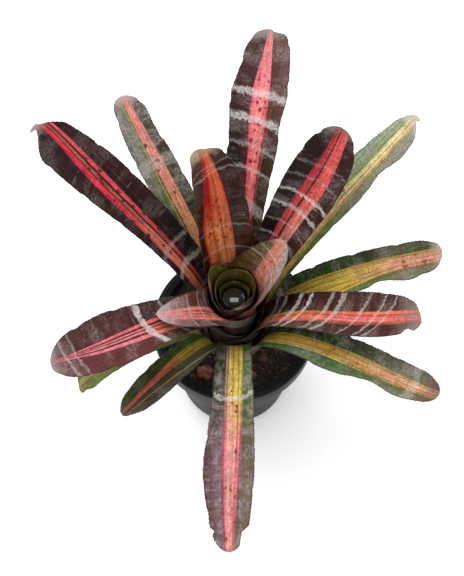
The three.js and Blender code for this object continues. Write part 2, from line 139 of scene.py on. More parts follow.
# How each leaf is coloured. left and right are the edges of its stripe, from -1 to 1 across
# the leaf, at even steps along the blade. near and far are the colours across it at the
# blade's start and end, by place: 0 and 1 are the stripe's edges. change is where near gives
# way to far. bands are pale crossbands (place along, width, strength), slant tilts them.
# mottle is a tone and its strength, bloom the strength of the pale powder, which also paints a
# soft sheen, spots a tone, how many of them show and where they start and end, and tip a tone
# and its share of the blade. under is the lower side's tone, silver how silvery that side is and
# depth what its colour is multiplied by, a painted shade of the side that faces down.
EVEN_LEFT = (-0.3, -0.3, -0.3, -0.3, -0.3)
EVEN_RIGHT = (0.3, 0.3, 0.3, 0.3, 0.3)
LOOKS = [
    dict(left=(-0.3, -0.3, -0.28, -0.25, -0.2), right=(0.3, 0.3, 0.28, 0.25, 0.2),
         near=[(-1, "#4c5a22"), (0, "#4c5a22"), (0.05, "#b8a050"), (0.5, "#c8b060"), (0.95, "#b8a050"),
               (1, "#4c5a22"), (2, "#56641f")],
         far=[(-1, "#787c38"), (0, "#6a7030"), (0.1, "#9a9450"), (0.9, "#9a9450"), (1, "#6a7030"),
              (2, "#8a8450")],
         change=(0.3, 0.8), bands=[(0.6, 0.02, 0.4)], mottle=("#5a6a20", 0.5), bloom_and_sheen=0.2,
         tip=("#8a7a50", 0.03), under="#5c5a3a"),
    dict(left=(-0.1, -0.12, -0.23, -0.25, -0.14), right=(0.5, 0.56, 0.38, 0.45, 0.5),
         near=[(-1, "#1c3008"), (-0.14, "#22380c"), (-0.1, "#c8a848"), (-0.02, "#d0b050"), (0.03, "#5a4a14"),
               (0.08, "#d0a840"), (0.5, "#c89a34"), (0.55, "#7a5a1c"), (0.6, "#d0a848"), (0.8, "#c8a048"),
               (0.85, "#7a6424"), (0.9, "#d8c070"), (0.98, "#c0b060"), (1.03, "#3c5c28"), (2, "#5c7a54")],
         far=[(-1, "#7c7468"), (-0.1, "#7a7a60"), (0, "#c89858"), (0.08, "#e0b080"), (0.13, "#946440"),
              (0.2, "#e8b890"), (0.5, "#e8ac88"), (0.55, "#b07050"), (0.62, "#e0a880"), (0.8, "#d8a070"),
              (0.85, "#8a6038"), (0.94, "#c8a860"), (1.02, "#6a6a40"), (2, "#8a8078")],
         change=(0.45, 0.9), bands=[(0.9, 0.03, 0.35)], mottle=("#54762c", 0.55), bloom_and_sheen=0.5,
         spots=("#8a4a20", 0.35, 0.54, 0.68), tip=("#6a4844", 0.1), under="#6c6a54"),
    dict(left=(-0.12, -0.12, -0.14, -0.12, -0.2), right=(0.4, 0.38, 0.38, 0.38, 0.25),
         near=[(-1, "#3f5a1c"), (-0.3, "#44601e"), (-0.25, "#b8a458"), (-0.17, "#b8a458"), (-0.13, "#2c3012"),
               (-0.03, "#6a5428"), (0, "#e8a070"), (0.98, "#e8a070"), (1.03, "#4a3a20"), (1.3, "#2e3414"),
               (2, "#33480f")],
         far=[(-1, "#8d8580"), (-0.3, "#7f8260"), (-0.25, "#a89a60"), (-0.17, "#a89a60"), (-0.1, "#6a4a38"),
              (0, "#e08a78"), (0.98, "#d8807a"), (1.05, "#5a3426"), (1.2, "#3a2a1e"), (2, "#40362a")],
         change=(0.35, 0.75), bands=[(0.68, 0.05, 0.3)], mottle=("#546a24", 0.45), bloom_and_sheen=0.6,
         spots=("#4a1a1a", 0.22, 0.45, 0.96), tip=("#b5a8a4", 0.05), under="#6a5f50"),
    dict(left=(-0.95, -0.9, -0.62, -0.28, -0.2), right=(0.6, 0.56, 0.5, 0.38, 0.34),
         near=[(-1, "#4a5a3c"), (-0.04, "#4a5838"), (-0.02, "#c8a860"), (0.02, "#c8a860"), (0.04, "#4a4a28"),
               (0.5, "#5c6428"), (0.55, "#c8a040"), (0.66, "#8a8030"), (0.78, "#c8a838"), (0.88, "#8c8430"),
               (0.96, "#a89a40"), (1.03, "#3c5a1c"), (2, "#2e4a14")],
         far=[(-1, "#3c2c22"), (-0.04, "#40321f"), (-0.02, "#c88a50"), (0.02, "#c88a50"), (0.04, "#3a2c1a"),
              (0.58, "#3a2c18"), (0.61, "#c05c40"), (0.7, "#c86848"), (0.73, "#4a2818"), (0.77, "#4a2818"),
              (0.8, "#c8644a"), (0.86, "#c86040"), (0.89, "#50281a"), (0.92, "#c05038"), (1, "#b85038"),
              (1.04, "#33300e"), (2, "#3c4a18")],
         change=(0.3, 0.7), mottle=("#3c5a18", 0.4), bloom_and_sheen=0.2,
         tip=("#6a5454", 0.06), under="#4c4434"),
    dict(left=(-0.3, -0.32, -0.31, -0.34, -0.26), right=(0.85, 0.85, 0.84, 0.37, 0.45),
         near=[(-1, "#1e3008"), (-0.1, "#22360a"), (-0.07, "#d0b040"), (-0.03, "#d0b040"), (0, "#4a5010"),
               (0.04, "#d0ac48"), (0.2, "#d8b450"), (0.23, "#7a7820"), (0.27, "#d8b848"), (0.5, "#d4b040"),
               (0.53, "#7a7018"), (0.57, "#d8b848"), (0.78, "#d0a83c"), (0.81, "#6a4c14"), (0.87, "#d8b848"),
               (0.97, "#c8a840"), (1.02, "#4e6a0c"), (2, "#5c8414")],
         far=[(-1, "#5e5448"), (-0.16, "#55502e"), (-0.12, "#b09a48"), (-0.05, "#b09a48"), (0, "#7a5c30"),
              (0.06, "#d89c70"), (0.3, "#e0a080"), (0.36, "#b0704c"), (0.42, "#e0a484"), (0.7, "#d89078"),
              (0.76, "#a85444"), (0.84, "#e0a080"), (0.95, "#d0906c"), (1.03, "#7a6a40"), (2, "#8a7c70")],
         change=(0.55, 0.85), bands=[(0.2, 0.035, 0.8)], mottle=("#3a5a10", 0.5), bloom_and_sheen=0.35,
         spots=("#8a4030", 0.2, 0.8, 0.95), tip=("#b8a8a4", 0.05), under="#54563a"),
    dict(left=(0.2, 0.2, -0.12, -0.36, -0.08), right=(0.45, 0.46, 0.33, 0.25, 0.16),
         near=[(-1, "#140806"), (-0.7, "#2a0a10"), (-0.45, "#5a1024"), (-0.05, "#4a0e1c"), (0, "#e05060"),
               (0.5, "#ec8078"), (0.98, "#e06060"), (1.04, "#3a1812"), (1.15, "#9a6030"), (1.28, "#9a6030"),
               (1.34, "#3a2010"), (2, "#4a4420")],
         far=[(-1, "#4c3230"), (-0.05, "#4a2422"), (0, "#e8687a"), (0.5, "#f08a8c"), (0.98, "#e87880"),
              (1.03, "#4e2c28"), (2, "#7a6a64")],
         change=(0.45, 0.85), slant=0.02, mottle=("#2a1210", 0.4), bloom_and_sheen=0.35,
         bands=[(0.37, 0.035, 0.5), (0.49, 0.008, 0.5), (0.565, 0.006, 0.4), (0.655, 0.02, 0.8),
                (0.75, 0.022, 0.75)],
         spots=("#8c1030", 0.45, 0.45, 0.82), tip=("#8f8582", 0.06), under="#5a4040"),
    dict(left=(-0.5, -0.45, -0.38, -0.27, -0.16), right=(0.43, 0.42, 0.39, 0.41, 0.38),
         near=[(-1, "#4a7018"), (-0.1, "#44641c"), (0, "#c0b050"), (0.14, "#d8c060"), (0.2, "#907828"),
               (0.28, "#dcbc50"), (0.5, "#d8b84c"), (0.56, "#98782a"), (0.64, "#e0c458"), (0.8, "#e0c078"),
               (0.88, "#7a4a30"), (0.95, "#d0a080"), (1, "#7a5a48"), (1.08, "#2e3c12"), (2, "#3a5020")],
         far=[(-1, "#7a6450"), (-0.1, "#6a5a48"), (0, "#b84858"), (0.08, "#e07880"), (0.2, "#c05a64"),
              (0.3, "#f0a098"), (0.45, "#d0846c"), (0.55, "#e8a898"), (0.7, "#f09a9a"), (0.85, "#e87884"),
              (0.93, "#a03c50"), (1, "#a05058"), (1.08, "#7a6268"), (2, "#6a4044")],
         change=(0.38, 0.66), bands=[(0.45, 0.012, 0.7)], mottle=("#8a7a84", 0.5), bloom_and_sheen=0.4,
         spots=("#7a3a28", 0.14, 0.3, 0.98), tip=("#8a6a64", 0.02), under="#64504a"),
    dict(left=(-0.3, -0.3, -0.25, -0.26, -0.5), right=(0.9, 0.8, 0.54, 0.32, 0.12),
         near=[(-1, "#8a9a40"), (-0.1, "#9a9a40"), (0, "#c8b050"), (0.3, "#dcc468"), (0.36, "#a88838"),
               (0.42, "#dcb868"), (0.7, "#e0b878"), (0.78, "#b88848"), (0.86, "#d8b468"), (0.95, "#b09a48"),
               (1.02, "#54781c"), (2, "#5a8024")],
         far=[(-1, "#a8b09a"), (-0.1, "#98a47c"), (0, "#8a9448"), (0.08, "#e0d090"), (0.4, "#ecdca0"),
              (0.47, "#a87048"), (0.54, "#ecdca0"), (0.72, "#e8c890"), (0.78, "#b07048"), (0.86, "#d8c088"),
              (1, "#8a8a48"), (1.15, "#9a9478"), (2, "#948a80")],
         change=(0.35, 0.75), mottle=("#6c8a3c", 0.5), bloom_and_sheen=0.4,
         spots=("#a05040", 0.22, 0.55, 0.9), tip=("#d8ccc8", 0.06), under="#8a9070"),
    dict(left=(-0.55, -0.62, -0.52, -0.26, 0.3), right=(0.2, 0.1, 0.14, 0.36, 0.75),
         near=[(-1, "#3a2024"), (-0.02, "#2c1216"), (0, "#c8564a"), (0.15, "#d87862"), (0.6, "#cf7a5a"),
               (0.67, "#1e0c0c"), (0.73, "#1e0c0c"), (0.77, "#c8453f"), (0.98, "#c04040"), (1.02, "#160a0a"),
               (1.35, "#160a0a"), (1.38, "#7a4a38"), (1.41, "#160a0a"), (2, "#120808")],
         far=[(-1, "#382022"), (-0.02, "#32161a"), (0, "#d8283e"), (0.32, "#e03a4a"), (0.38, "#3c1618"),
              (0.46, "#a84c40"), (0.58, "#c05a50"), (0.63, "#2c1014"), (0.73, "#2c1014"), (0.77, "#e8525a"),
              (0.97, "#e8525a"), (1.01, "#2e1418"), (1.35, "#2e1418"), (1.38, "#8a3440"), (1.42, "#2e1418"),
              (2, "#43292e")],
         change=(0.3, 0.62), mottle=("#1a0c0c", 0.4), bloom_and_sheen=0.2,
         bands=[(0.1, 0.02, 0.35), (0.24, 0.02, 0.5), (0.34, 0.015, 0.3)],
         spots=("#5a1418", 0.3, 0.3, 0.8), tip=("#b8a0a4", 0.05), under="#4a3238"),
    dict(left=(0.05, 0, -0.13, -0.22, -0.4), right=(0.6, 0.62, 0.42, 0.36, 0.25),
         near=[(-1, "#2e120c"), (-0.5, "#33200c"), (-0.08, "#4a4a10"), (0, "#d08038"), (0.24, "#d07a48"),
               (0.3, "#5a1c10"), (0.36, "#d8784c"), (0.6, "#dc8060"), (0.66, "#a04830"), (0.72, "#d8785a"),
               (0.95, "#c86848"), (1, "#5c2c20"), (1.1, "#6a5048"), (2, "#7a6460")],
         far=[(-1, "#4c2420"), (-0.05, "#522a1e"), (0, "#e0784c"), (0.21, "#e06850"), (0.26, "#5c1c18"),
              (0.32, "#e86c68"), (0.75, "#ec7870"), (0.8, "#a84434"), (0.86, "#d86450"), (0.91, "#7a3420"),
              (0.98, "#a0603c"), (1.06, "#4c2420"), (2, "#54302c")],
         change=(0.3, 0.6), slant=0.05, mottle=("#3c2014", 0.4), bloom_and_sheen=0.3,
         bands=[(0.16, 0.012, 0.6), (0.22, 0.012, 0.6), (0.32, 0.022, 0.85), (0.385, 0.01, 0.9),
                (0.5, 0.014, 0.5), (0.56, 0.018, 0.6), (0.695, 0.006, 0.55), (0.775, 0.006, 0.65),
                (0.825, 0.006, 0.5)],
         tip=("#8f7f78", 0.12), under="#604440"),
    dict(left=(-0.6, -0.55, -0.43, -0.25, 0), right=(0.35, 0.32, 0.27, 0.19, 0.1),
         near=[(-1, "#5a3426"), (-0.03, "#5a3822"), (0, "#e08050"), (0.2, "#e08450"), (0.25, "#5a1c10"),
               (0.35, "#d86848"), (0.48, "#d86848"), (0.52, "#5a1810"), (0.58, "#c85844"), (0.66, "#c85844"),
               (0.7, "#3c100c"), (0.8, "#4c1812"), (0.84, "#e07068"), (1, "#e07068"), (1.03, "#3a200e"),
               (2, "#33240a")],
         far=[(-1, "#6e484a"), (-0.03, "#6c4042"), (0, "#e0707c"), (0.22, "#e8808a"), (0.26, "#5a2628"),
              (0.38, "#5a2628"), (0.42, "#e88088"), (0.5, "#e88088"), (0.54, "#5c2426"), (0.6, "#5c2426"),
              (0.64, "#e87c84"), (0.69, "#e87c84"), (0.72, "#4a201e"), (0.81, "#4a201e"), (0.84, "#e8707c"),
              (1, "#e86878"), (1.03, "#4c2420"), (2, "#5a3e40")],
         change=(0.42, 0.58), slant=-0.025, mottle=("#40200f", 0.35), bloom_and_sheen=0.3,
         bands=[(0.39, 0.012, 0.6), (0.525, 0.024, 0.9), (0.88, 0.005, 0.4), (0.925, 0.006, 0.5)],
         tip=("#a08c90", 0.06), under="#5c4446"),
    dict(left=(-0.45, -0.42, -0.4, -0.27, -0.12), right=(0.3, 0.28, 0.34, 0.47, 0.45),
         near=[(-1, "#140a08"), (-0.03, "#1e0c0a"), (0, "#b84848"), (0.3, "#c05a50"), (0.34, "#3a0c0c"),
               (0.39, "#7a2a20"), (0.43, "#3a0c0c"), (0.47, "#d87868"), (0.98, "#e8a090"), (1.03, "#4a2c28"),
               (2, "#50302e")],
         far=[(-1, "#2a1816"), (-0.03, "#2a1212"), (0, "#a82030"), (0.32, "#c03a44"), (0.36, "#2c0a0a"),
              (0.4, "#2c0a0a"), (0.44, "#d84c48"), (0.98, "#e05a58"), (1.03, "#3c1c1a"), (2, "#3a1c1a")],
         change=(0.4, 0.75), mottle=("#100606", 0.4), bloom_and_sheen=0.3,
         bands=[(0.42, 0.008, 0.5), (0.5, 0.005, 0.3), (0.59, 0.012, 0.65), (0.665, 0.008, 0.8),
                (0.75, 0.005, 0.25), (0.82, 0.004, 0.25)],
         spots=("#b01830", 0.4, 0.25, 0.8), tip=("#8a7a74", 0.05), under="#4c3434"),
    dict(left=(-0.6, -0.6, -0.7, -0.5, -0.15), right=(0.4, 0.4, 0.34, 0.32, 0.25),
         near=[(-1, "#6a3820"), (-0.1, "#4a1c10"), (0, "#c05030"), (0.1, "#d87a48"), (0.3, "#d06a30"),
               (0.35, "#a84414"), (0.42, "#d88048"), (0.6, "#dd8a58"), (0.65, "#b0541c"), (0.72, "#d8804a"),
               (0.98, "#d07850"), (1.02, "#3c1a0a"), (2, "#5a4010")],
         far=[(-1, "#5a3020"), (-0.06, "#3c1410"), (0, "#b01818"), (0.28, "#a81014"), (0.36, "#c84828"),
              (0.5, "#d8643a"), (0.6, "#a83c1c"), (0.7, "#d86a40"), (0.96, "#cc5038"), (1, "#4a1812"),
              (1.2, "#30100c"), (2, "#34120e")],
         change=(0.45, 0.7), mottle=("#4a2c10", 0.3), bloom_and_sheen=0.15,
         bands=[(0.2, 0.01, 0.35), (0.33, 0.006, 0.35), (0.5, 0.006, 0.3), (0.85, 0.006, 0.35),
                (0.89, 0.004, 0.3)],
         spots=("#a01018", 0.3, 0.35, 0.8), tip=("#c8b090", 0.08), under="#5a3424"),
    dict(left=(-0.5, -0.5, -0.4, -0.4, -0.3), right=(0.2, 0.25, 0.3, 0.3, 0.3),
         near=[(-1, "#5a4440"), (-0.1, "#6a4a44"), (0, "#e07a70"), (0.2, "#e88078"), (0.27, "#7a3a24"),
               (0.34, "#e88880"), (0.48, "#8a4a30"), (0.56, "#e88078"), (0.7, "#7a3c28"), (0.8, "#e88880"),
               (0.98, "#e8857c"), (1.04, "#5a2e24"), (2, "#6a3a30")],
         far=[(-1, "#8a7478"), (0, "#c89088"), (0.2, "#e88c8c"), (0.8, "#e89490"), (1, "#9a6a64"),
              (2, "#7a5450")],
         change=(0.5, 0.9),
         bands=[(0.15, 0.012, 0.6), (0.3, 0.012, 0.6), (0.46, 0.014, 0.5), (0.62, 0.01, 0.5)],
         mottle=("#5a302a", 0.4), bloom_and_sheen=0.5, tip=("#b8a8ac", 0.22), under="#5c4a46"),
    dict(left=(-0.3, -0.25, -0.2, -0.2, -0.35), right=(0.3, 0.35, 0.4, 0.35, 0.2),
         near=[(-1, "#5a4010"), (-0.1, "#5c3c14"), (0, "#b86a50"), (0.5, "#c88068"), (1, "#b07058"),
               (1.1, "#8a5a44"), (2, "#9a6a54")],
         far=[(-1, "#5c4a14"), (-0.1, "#6a4c1c"), (0, "#d87864"), (0.5, "#e08a74"), (1, "#d8988a"),
              (1.1, "#c09c90"), (2, "#b8a4a0")],
         change=(0.1, 0.7), bands=[(0.55, 0.03, 0.45), (0.72, 0.02, 0.45), (0.35, 0.02, 0.3)], slant=0.1,
         mottle=("#4a3a10", 0.3), bloom_and_sheen=0.4, spots=("#c02820", 0.5, 0.4, 0.7), tip=("#c0a898", 0.1),
         under="#7c2408", silver=0.12, depth=0.8),
    dict(left=EVEN_LEFT, right=EVEN_RIGHT,
         near=[(-1, "#b8948c"), (-0.7, "#a88478"), (-0.45, "#4c4410"), (1, "#4c4410"), (2, "#4c4410")],
         far=[(-1, "#e8c4c0"), (-0.6, "#d8b0a8"), (-0.3, "#6c5c1c"), (0, "#5c5412"), (2, "#504c10")],
         change=(-0.3, 0.4), mottle=("#6a6a1c", 0.3), bloom_and_sheen=0.1, tip=("#8a8438", 0.1),
         under="#6e2408", silver=0.12, depth=0.8),
    dict(left=EVEN_LEFT, right=EVEN_RIGHT,
         near=[(-1, "#4a3c10"), (2, "#4a3c10")],
         far=[(-1, "#6a5a1c"), (0.5, "#5c4c14"), (2, "#7a5c28")],
         change=(-0.3, 0.6), mottle=("#4c4c10", 0.3), bloom_and_sheen=0.1, tip=("#8a7c40", 0.1),
         under="#5c3a14"),
    dict(left=EVEN_LEFT, right=EVEN_RIGHT,
         near=[(-1, "#3c3a0c"), (2, "#3c3a0c")],
         far=[(-1, "#5a5a14"), (0.5, "#50500f"), (2, "#5a5a14")],
         change=(-0.4, 0.5), mottle=("#4c5010", 0.3), bloom_and_sheen=0.05, tip=("#7c7c30", 0.1),
         under="#4c4414"),
]

# How a leaf's outline departs from the plain strap of its solid, in millimetres.
# A swell is its distance from the leaf's end, its side, how far the margin moves out and how
# long it is. A cut is its side, how far back it goes and how far from the middle line it
# leaves the margin. point is where the end spine stands, beyond the end and to the right.
LEFT = -1
RIGHT = 1
OUTLINES = {
    0: dict(swells=[(14, LEFT, 2, 6)], point=(0.5, -6)),
    1: dict(swells=[(32, RIGHT, 3.5, 10), (58, RIGHT, -4, 13), (96, RIGHT, 4, 18)], point=(1, -1)),
    2: dict(swells=[(50, LEFT, 2, 30), (40, RIGHT, -1.5, 14)], point=(1.2, 0)),
    3: dict(swells=[(6, LEFT, -3, 6)], point=(2, 1)),
    4: dict(swells=[(32, RIGHT, 2.5, 9), (56, RIGHT, -4.5, 12)], point=(1.2, -2.5)),
    5: dict(swells=[(72, LEFT, 3.5, 22), (90, RIGHT, -3, 14), (3, RIGHT, -4, 3)], point=(1.2, -3.5)),
    6: dict(swells=[(18, RIGHT, -3, 2), (68, RIGHT, 3, 32)], cuts=[(LEFT, 14, 10)], point=(1.4, 1)),
    7: dict(swells=[(5, RIGHT, -9, 6), (32, RIGHT, 3.5, 10), (56, RIGHT, -5.5, 14)], point=(1.4, -2)),
    8: dict(swells=[(6, LEFT, -12, 9), (6, RIGHT, -4, 7)], point=(0.5, -1)),
    9: dict(cuts=[(RIGHT, 10, 11.5)], point=(2.8, 5)),
    10: dict(swells=[(62, LEFT, 2, 24), (62, RIGHT, 2, 24)], point=(1, -1)),
    11: dict(swells=[(10, LEFT, -2, 2)], point=(1.4, 0)),
    12: dict(swells=[(2, RIGHT, -3, 2)], point=(2, -6)),
}

# The first of the leaves round the cup, and the first of those that make the innermost rings,
# which are meshed more finely and have smaller spines
INNER_RING = 15

# How much further than its solid each inner leaf's sheath wraps round those within it, on the
# left and on the right, where along the sheath that ends, and how far one margin laps the other
WRAPS = {
    9: dict(extra=(8, 20), ends=(0.75, 1.15), lap=0.5),
    10: dict(extra=(18, 6), ends=(0.75, 1.15), lap=0.5),
    11: dict(extra=(6, 14), ends=(0.75, 1.15), lap=0.5),
    12: dict(extra=(18, 22), ends=(0.7, 1.12), lap=0.7),
    13: dict(extra=(14, 10), ends=(0.75, 1.12), lap=0.6),
    14: dict(extra=(8, 16), ends=(0.7, 1.05), lap=0.6),
    15: dict(extra=(8, 12), ends=(0.8, 1.1), lap=0.5),
    16: dict(extra=(27, 27), ends=(1.12, 1.22), lap=0.7),
    17: dict(extra=(7, 7), ends=(1.03, 1.08), lap=0.5),
}

# The stones and chips on the soil, where the solids have them
STONES = [
    dict(name="lava_rock", at=(-27, -45), size=(8, 7.2, 7), turn=20, slot="stone", color="#8a5038"),
    dict(name="lava_chip", at=(-38.5, -49.5), size=(3, 2.8, 2.8), turn=70, slot="stone", color="#7a4434"),
    dict(name="bark_chip", at=(-42, -8), size=(4.6, 3, 2.8), turn=100, slot="bark", color="#b07c4c"),
    dict(name="red_stone", at=(16, -48), size=(6, 5, 4.6), turn=150, slot="stone", color="#6a3a2c"),
    dict(name="brown_stone", at=(28, -31), size=(4.6, 4, 3.8), turn=35, slot="stone", color="#4d2e24"),
]


def leaf_name(number):
    return f"leaf_{number + 1:02d}"


def through(values, u):
    """Values on a smooth curve through evenly spaced ones, at places u from 0 to 1."""
    values = np.asarray(values, float)
    last = len(values) - 1
    x = np.clip(u, 0, 1) * last
    i = np.minimum(x.astype(int), last - 1)
    f = x - i
    a = values[np.maximum(i - 1, 0)]
    b = values[i]
    c = values[i + 1]
    d = values[np.minimum(i + 2, last)]
    bend = (2 * a - 5 * b + 4 * c - d) * f * f
    return b + 0.5 * ((c - a) * f + bend + (3 * b - a - 3 * c + d) * f**3)


def smoothstep(x, low, high):
    t = np.clip((x - low) / (high - low), 0, 1)
    return t * t * (3 - 2 * t)


def crown_height(radius):
    return CROWN["collar"] + (CROWN["radius"] - radius) * CROWN["slope"]


class LeafShape:
    """A leaf's centreline, section and outline, in millimetres, by distance along it."""

    def __init__(self, number):
        leaf = LEAVES[number]
        self.leaf = leaf
        self.outline = OUTLINES.get(number, {})
        self.wrap = WRAPS.get(number)
        self.sheath, self.foot = leaf["sheath"]
        self.length = self.sheath + leaf["blade"]
        self.base = FOOT["outer"] - FOOT["step"] * leaf["whorl"]
        self.width = [leaf["broad"] * share for share in FORMS[leaf["form"]]]
        self.tip = ROUNDING * leaf["broad"]
        self.steps = 80
        middle = (np.arange(self.steps) + 0.5) * self.length / self.steps
        forward = self.directions(middle)[0]
        turn = math.radians(leaf["azimuth"])
        start = crown_height(self.base - 0.6) + 0.6
        first = np.array([self.base * math.cos(turn), self.base * math.sin(turn), start])
        steps = np.cumsum(forward * self.length / self.steps, 0)
        self.places = np.vstack([first, first + steps])

    def share(self, s):
        return np.clip((s - self.sheath) / self.leaf["blade"], 0, 1)

    def directions(self, s):
        """Forward, sideways and upward directions at distances s."""
        u = self.share(s)
        rise = self.leaf["rise"]
        pitch = np.radians(rise + (SHEATH_PITCH - rise) * (1 - u) ** self.leaf["droop"])
        heading = np.radians(self.leaf["azimuth"] + through((0, *self.leaf["aside"]), u))
        roll = np.radians(self.leaf["twist"] * u * u)[:, None]
        level = np.cos(pitch)
        forward = np.stack([level * np.cos(heading), level * np.sin(heading), np.sin(pitch)], -1)
        side = np.stack([np.sin(heading), -np.cos(heading), 0 * heading], -1)
        up = np.cross(side, forward)
        turned_side = side * np.cos(roll) + up * np.sin(roll)
        turned_up = up * np.cos(roll) - side * np.sin(roll)
        return forward, turned_side, turned_up

    def centre(self, s):
        x = np.clip(s * self.steps / self.length, 0, self.steps - 1e-6)
        i = x.astype(int)
        f = (x - i)[:, None]
        return self.places[i] * (1 - f) + self.places[i + 1] * f

    def half_width(self, s):
        """Half of the strap's width, without the rounding of its end."""
        spread = 1 - smoothstep(s / (1.15 * self.sheath), 0, 1)
        blade = through(self.width, self.share(s))
        return 0.5 * (blade + (self.foot - self.width[0]) * spread)

    def margins(self, s):
        """How far the left and right margins lie from the middle line."""
        ahead = self.length - s
        rest = np.clip(ahead / self.tip, 0, 1)
        plain = self.half_width(s) * np.sqrt(np.maximum(1 - (1 - rest) ** 2.2, 0))
        aside = self.end_point()[1]
        lean = aside * (1 - smoothstep(ahead, 0, 0.4 * self.tip))
        sides = []
        for hand in (LEFT, RIGHT):
            margin = plain.copy()
            for distance, side, amount, reach in self.outline.get("swells", []):
                if side == hand:
                    margin += amount * np.exp(-((ahead - distance) / reach) ** 2) * smoothstep(rest, 0, 0.15)
            for side, back, left_over in self.outline.get("cuts", []):
                if side == hand:
                    whole = smoothstep(ahead, back, back + 5)
                    margin = whole * margin + (1 - whole) * np.minimum(margin, left_over)
            sides.append(margin + hand * lean)
        shortfall = np.maximum(-(sides[0] + sides[1]), 0)
        sides[1] = sides[1] + shortfall
        if self.wrap:
            start, end = self.wrap["ends"]
            wrapped = 1 - smoothstep(s / self.sheath, start, end)
            for hand in (0, 1):
                sides[hand] = sides[hand] + self.wrap["extra"][hand] * wrapped
        return sides

    def end_point(self):
        """Where the end spine stands, beyond the leaf's end and to the right."""
        return self.outline.get("point", (1.5, 0))

    def curvature(self, s):
        u = self.share(s)
        axis = self.centre(s)
        near, far = self.leaf.get("cup", OPEN_CUP)
        cup = np.radians(near + (far - near) * u) / through(self.width, np.minimum(u, 0.75))
        opened = smoothstep(u, 0, 0.35)
        return (1 - opened) / np.hypot(axis[:, 0], axis[:, 1]) + opened * np.minimum(cup, 1 / TIGHTEST_BEND)

    def surface(self, s, across):
        """Points, normals and outward directions on the middle surface; across has a row for each s."""
        forward, side, up = self.directions(s)
        curvature = self.curvature(s)[:, None]
        turn = across * curvature
        cosine = np.cos(turn)[..., None]
        sine = np.sin(turn)[..., None]
        side = side[:, None]
        up = up[:, None]
        reach = 1 / curvature[..., None]
        points = self.centre(s)[:, None] + side * sine * reach + up * (1 - cosine) * reach
        points = points + forward[:, None] * np.maximum(s - self.length, 0)[:, None, None]
        normals = up * cosine - side * sine
        if self.wrap:
            lap = self.wrap["lap"] * np.sin(np.clip(turn / 2, -math.pi / 2, math.pi / 2))
            points = points - normals * lap[..., None]
        return points, normals, side * cosine + up * sine


def linear(color):
    """Linear colour with alpha from a hex string."""
    parts = [int(color[i:i + 2], 16) / 255 for i in (1, 3, 5)]
    return tuple(p / 12.92 if p <= 0.04045 else ((p + 0.055) / 1.055) ** 2.4 for p in parts) + (1.0,)


class Shader:
    """A material's node tree, with short ways to add the nodes that the finishes use."""

    def __init__(self, name):
        self.material = bpy.data.materials.new(name)
        self.material.use_nodes = True
        self.tree = self.material.node_tree
        self.surface = self.tree.nodes["Principled BSDF"]

    def add(self, kind, **values):
        node = self.tree.nodes.new(kind)
        for name, value in values.items():
            setattr(node, name, value)
        return node

    def feed(self, socket, value):
        """Link an output to a socket, or set the socket's own value."""
        if isinstance(value, bpy.types.NodeSocket):
            self.tree.links.new(value, socket)
        else:
            socket.default_value = value

    def set(self, name, value):
        self.feed(self.surface.inputs[name], value)

    def attribute(self, name, output="Fac"):
        return self.add("ShaderNodeAttribute", attribute_name=name).outputs[output]

    def place(self):
        return self.add("ShaderNodeTexCoord").outputs["Object"]

    def stretch(self, vector, by):
        node = self.add("ShaderNodeVectorMath", operation="MULTIPLY")
        self.feed(node.inputs[0], vector)
        self.feed(node.inputs[1], by)
        return node.outputs[0]

    def noise(self, vector, scale, detail=3.0, rough=0.5):
        node = self.add("ShaderNodeTexNoise")
        self.feed(node.inputs["Vector"], vector)
        self.feed(node.inputs["Scale"], scale)
        self.feed(node.inputs["Detail"], detail)
        self.feed(node.inputs["Roughness"], rough)
        return node.outputs["Fac"]

    def cells(self, vector, scale, feature="F1", output="Distance"):
        node = self.add("ShaderNodeTexVoronoi", feature=feature)
        self.feed(node.inputs["Vector"], vector)
        self.feed(node.inputs["Scale"], scale)
        return node.outputs[output]

    def math(self, operation, a, b=0.0, clamp=False):
        node = self.add("ShaderNodeMath", operation=operation, use_clamp=clamp)
        self.feed(node.inputs[0], a)
        self.feed(node.inputs[1], b)
        return node.outputs[0]

    def times(self, a, b):
        return self.math("MULTIPLY", a, b)

    def plus(self, a, b):
        return self.math("ADD", a, b)

    def scaled(self, value, by, plus):
        """A value times a number, plus another."""
        node = self.add("ShaderNodeMath", operation="MULTIPLY_ADD")
        for socket, number in zip(node.inputs, (value, by, plus)):
            self.feed(socket, number)
        return node.outputs[0]

    def rise(self, value, low, high, to_low=0.0, to_high=1.0):
        """A smooth step of a value between two places."""
        node = self.add("ShaderNodeMapRange", interpolation_type="SMOOTHSTEP")
        for name, number in zip(("Value", "From Min", "From Max", "To Min", "To Max"),
                                (value, low, high, to_low, to_high)):
            self.feed(node.inputs[name], number)
        return node.outputs["Result"]

    def ramp(self, value, stops, interpolation="LINEAR"):
        node = self.add("ShaderNodeValToRGB")
        node.color_ramp.interpolation = interpolation
        elements = node.color_ramp.elements
        elements.remove(elements[-1])
        for number, (place, color) in enumerate(stops):
            element = elements.new(place) if number else elements[0]
            element.position = place
            element.color = linear(color) if isinstance(color, str) else (color, color, color, 1.0)
        self.feed(node.inputs["Fac"], value)
        return node.outputs["Color"]

    def mix(self, factor, a, b, blend="MIX"):
        node = self.add("ShaderNodeMix", data_type="RGBA", blend_type=blend)
        self.feed(node.inputs[0], factor)
        inputs = [socket for socket in node.inputs if socket.type == "RGBA"]
        for socket, color in zip(inputs, (a, b)):
            self.feed(socket, linear(color) if isinstance(color, str) else color)
        return [socket for socket in node.outputs if socket.type == "RGBA"][0]

    def shade(self, color, by):
        """A colour made lighter or darker by a value."""
        node = self.add("ShaderNodeVectorMath", operation="SCALE")
        self.feed(node.inputs[0], color)
        self.feed(node.inputs["Scale"], by)
        return node.outputs[0]

    def bump(self, height, distance, strength=1.0):
        node = self.add("ShaderNodeBump")
        self.feed(node.inputs["Height"], height)
        self.feed(node.inputs["Distance"], distance)
        self.feed(node.inputs["Strength"], strength)
        self.feed(self.surface.inputs["Normal"], node.outputs["Normal"])


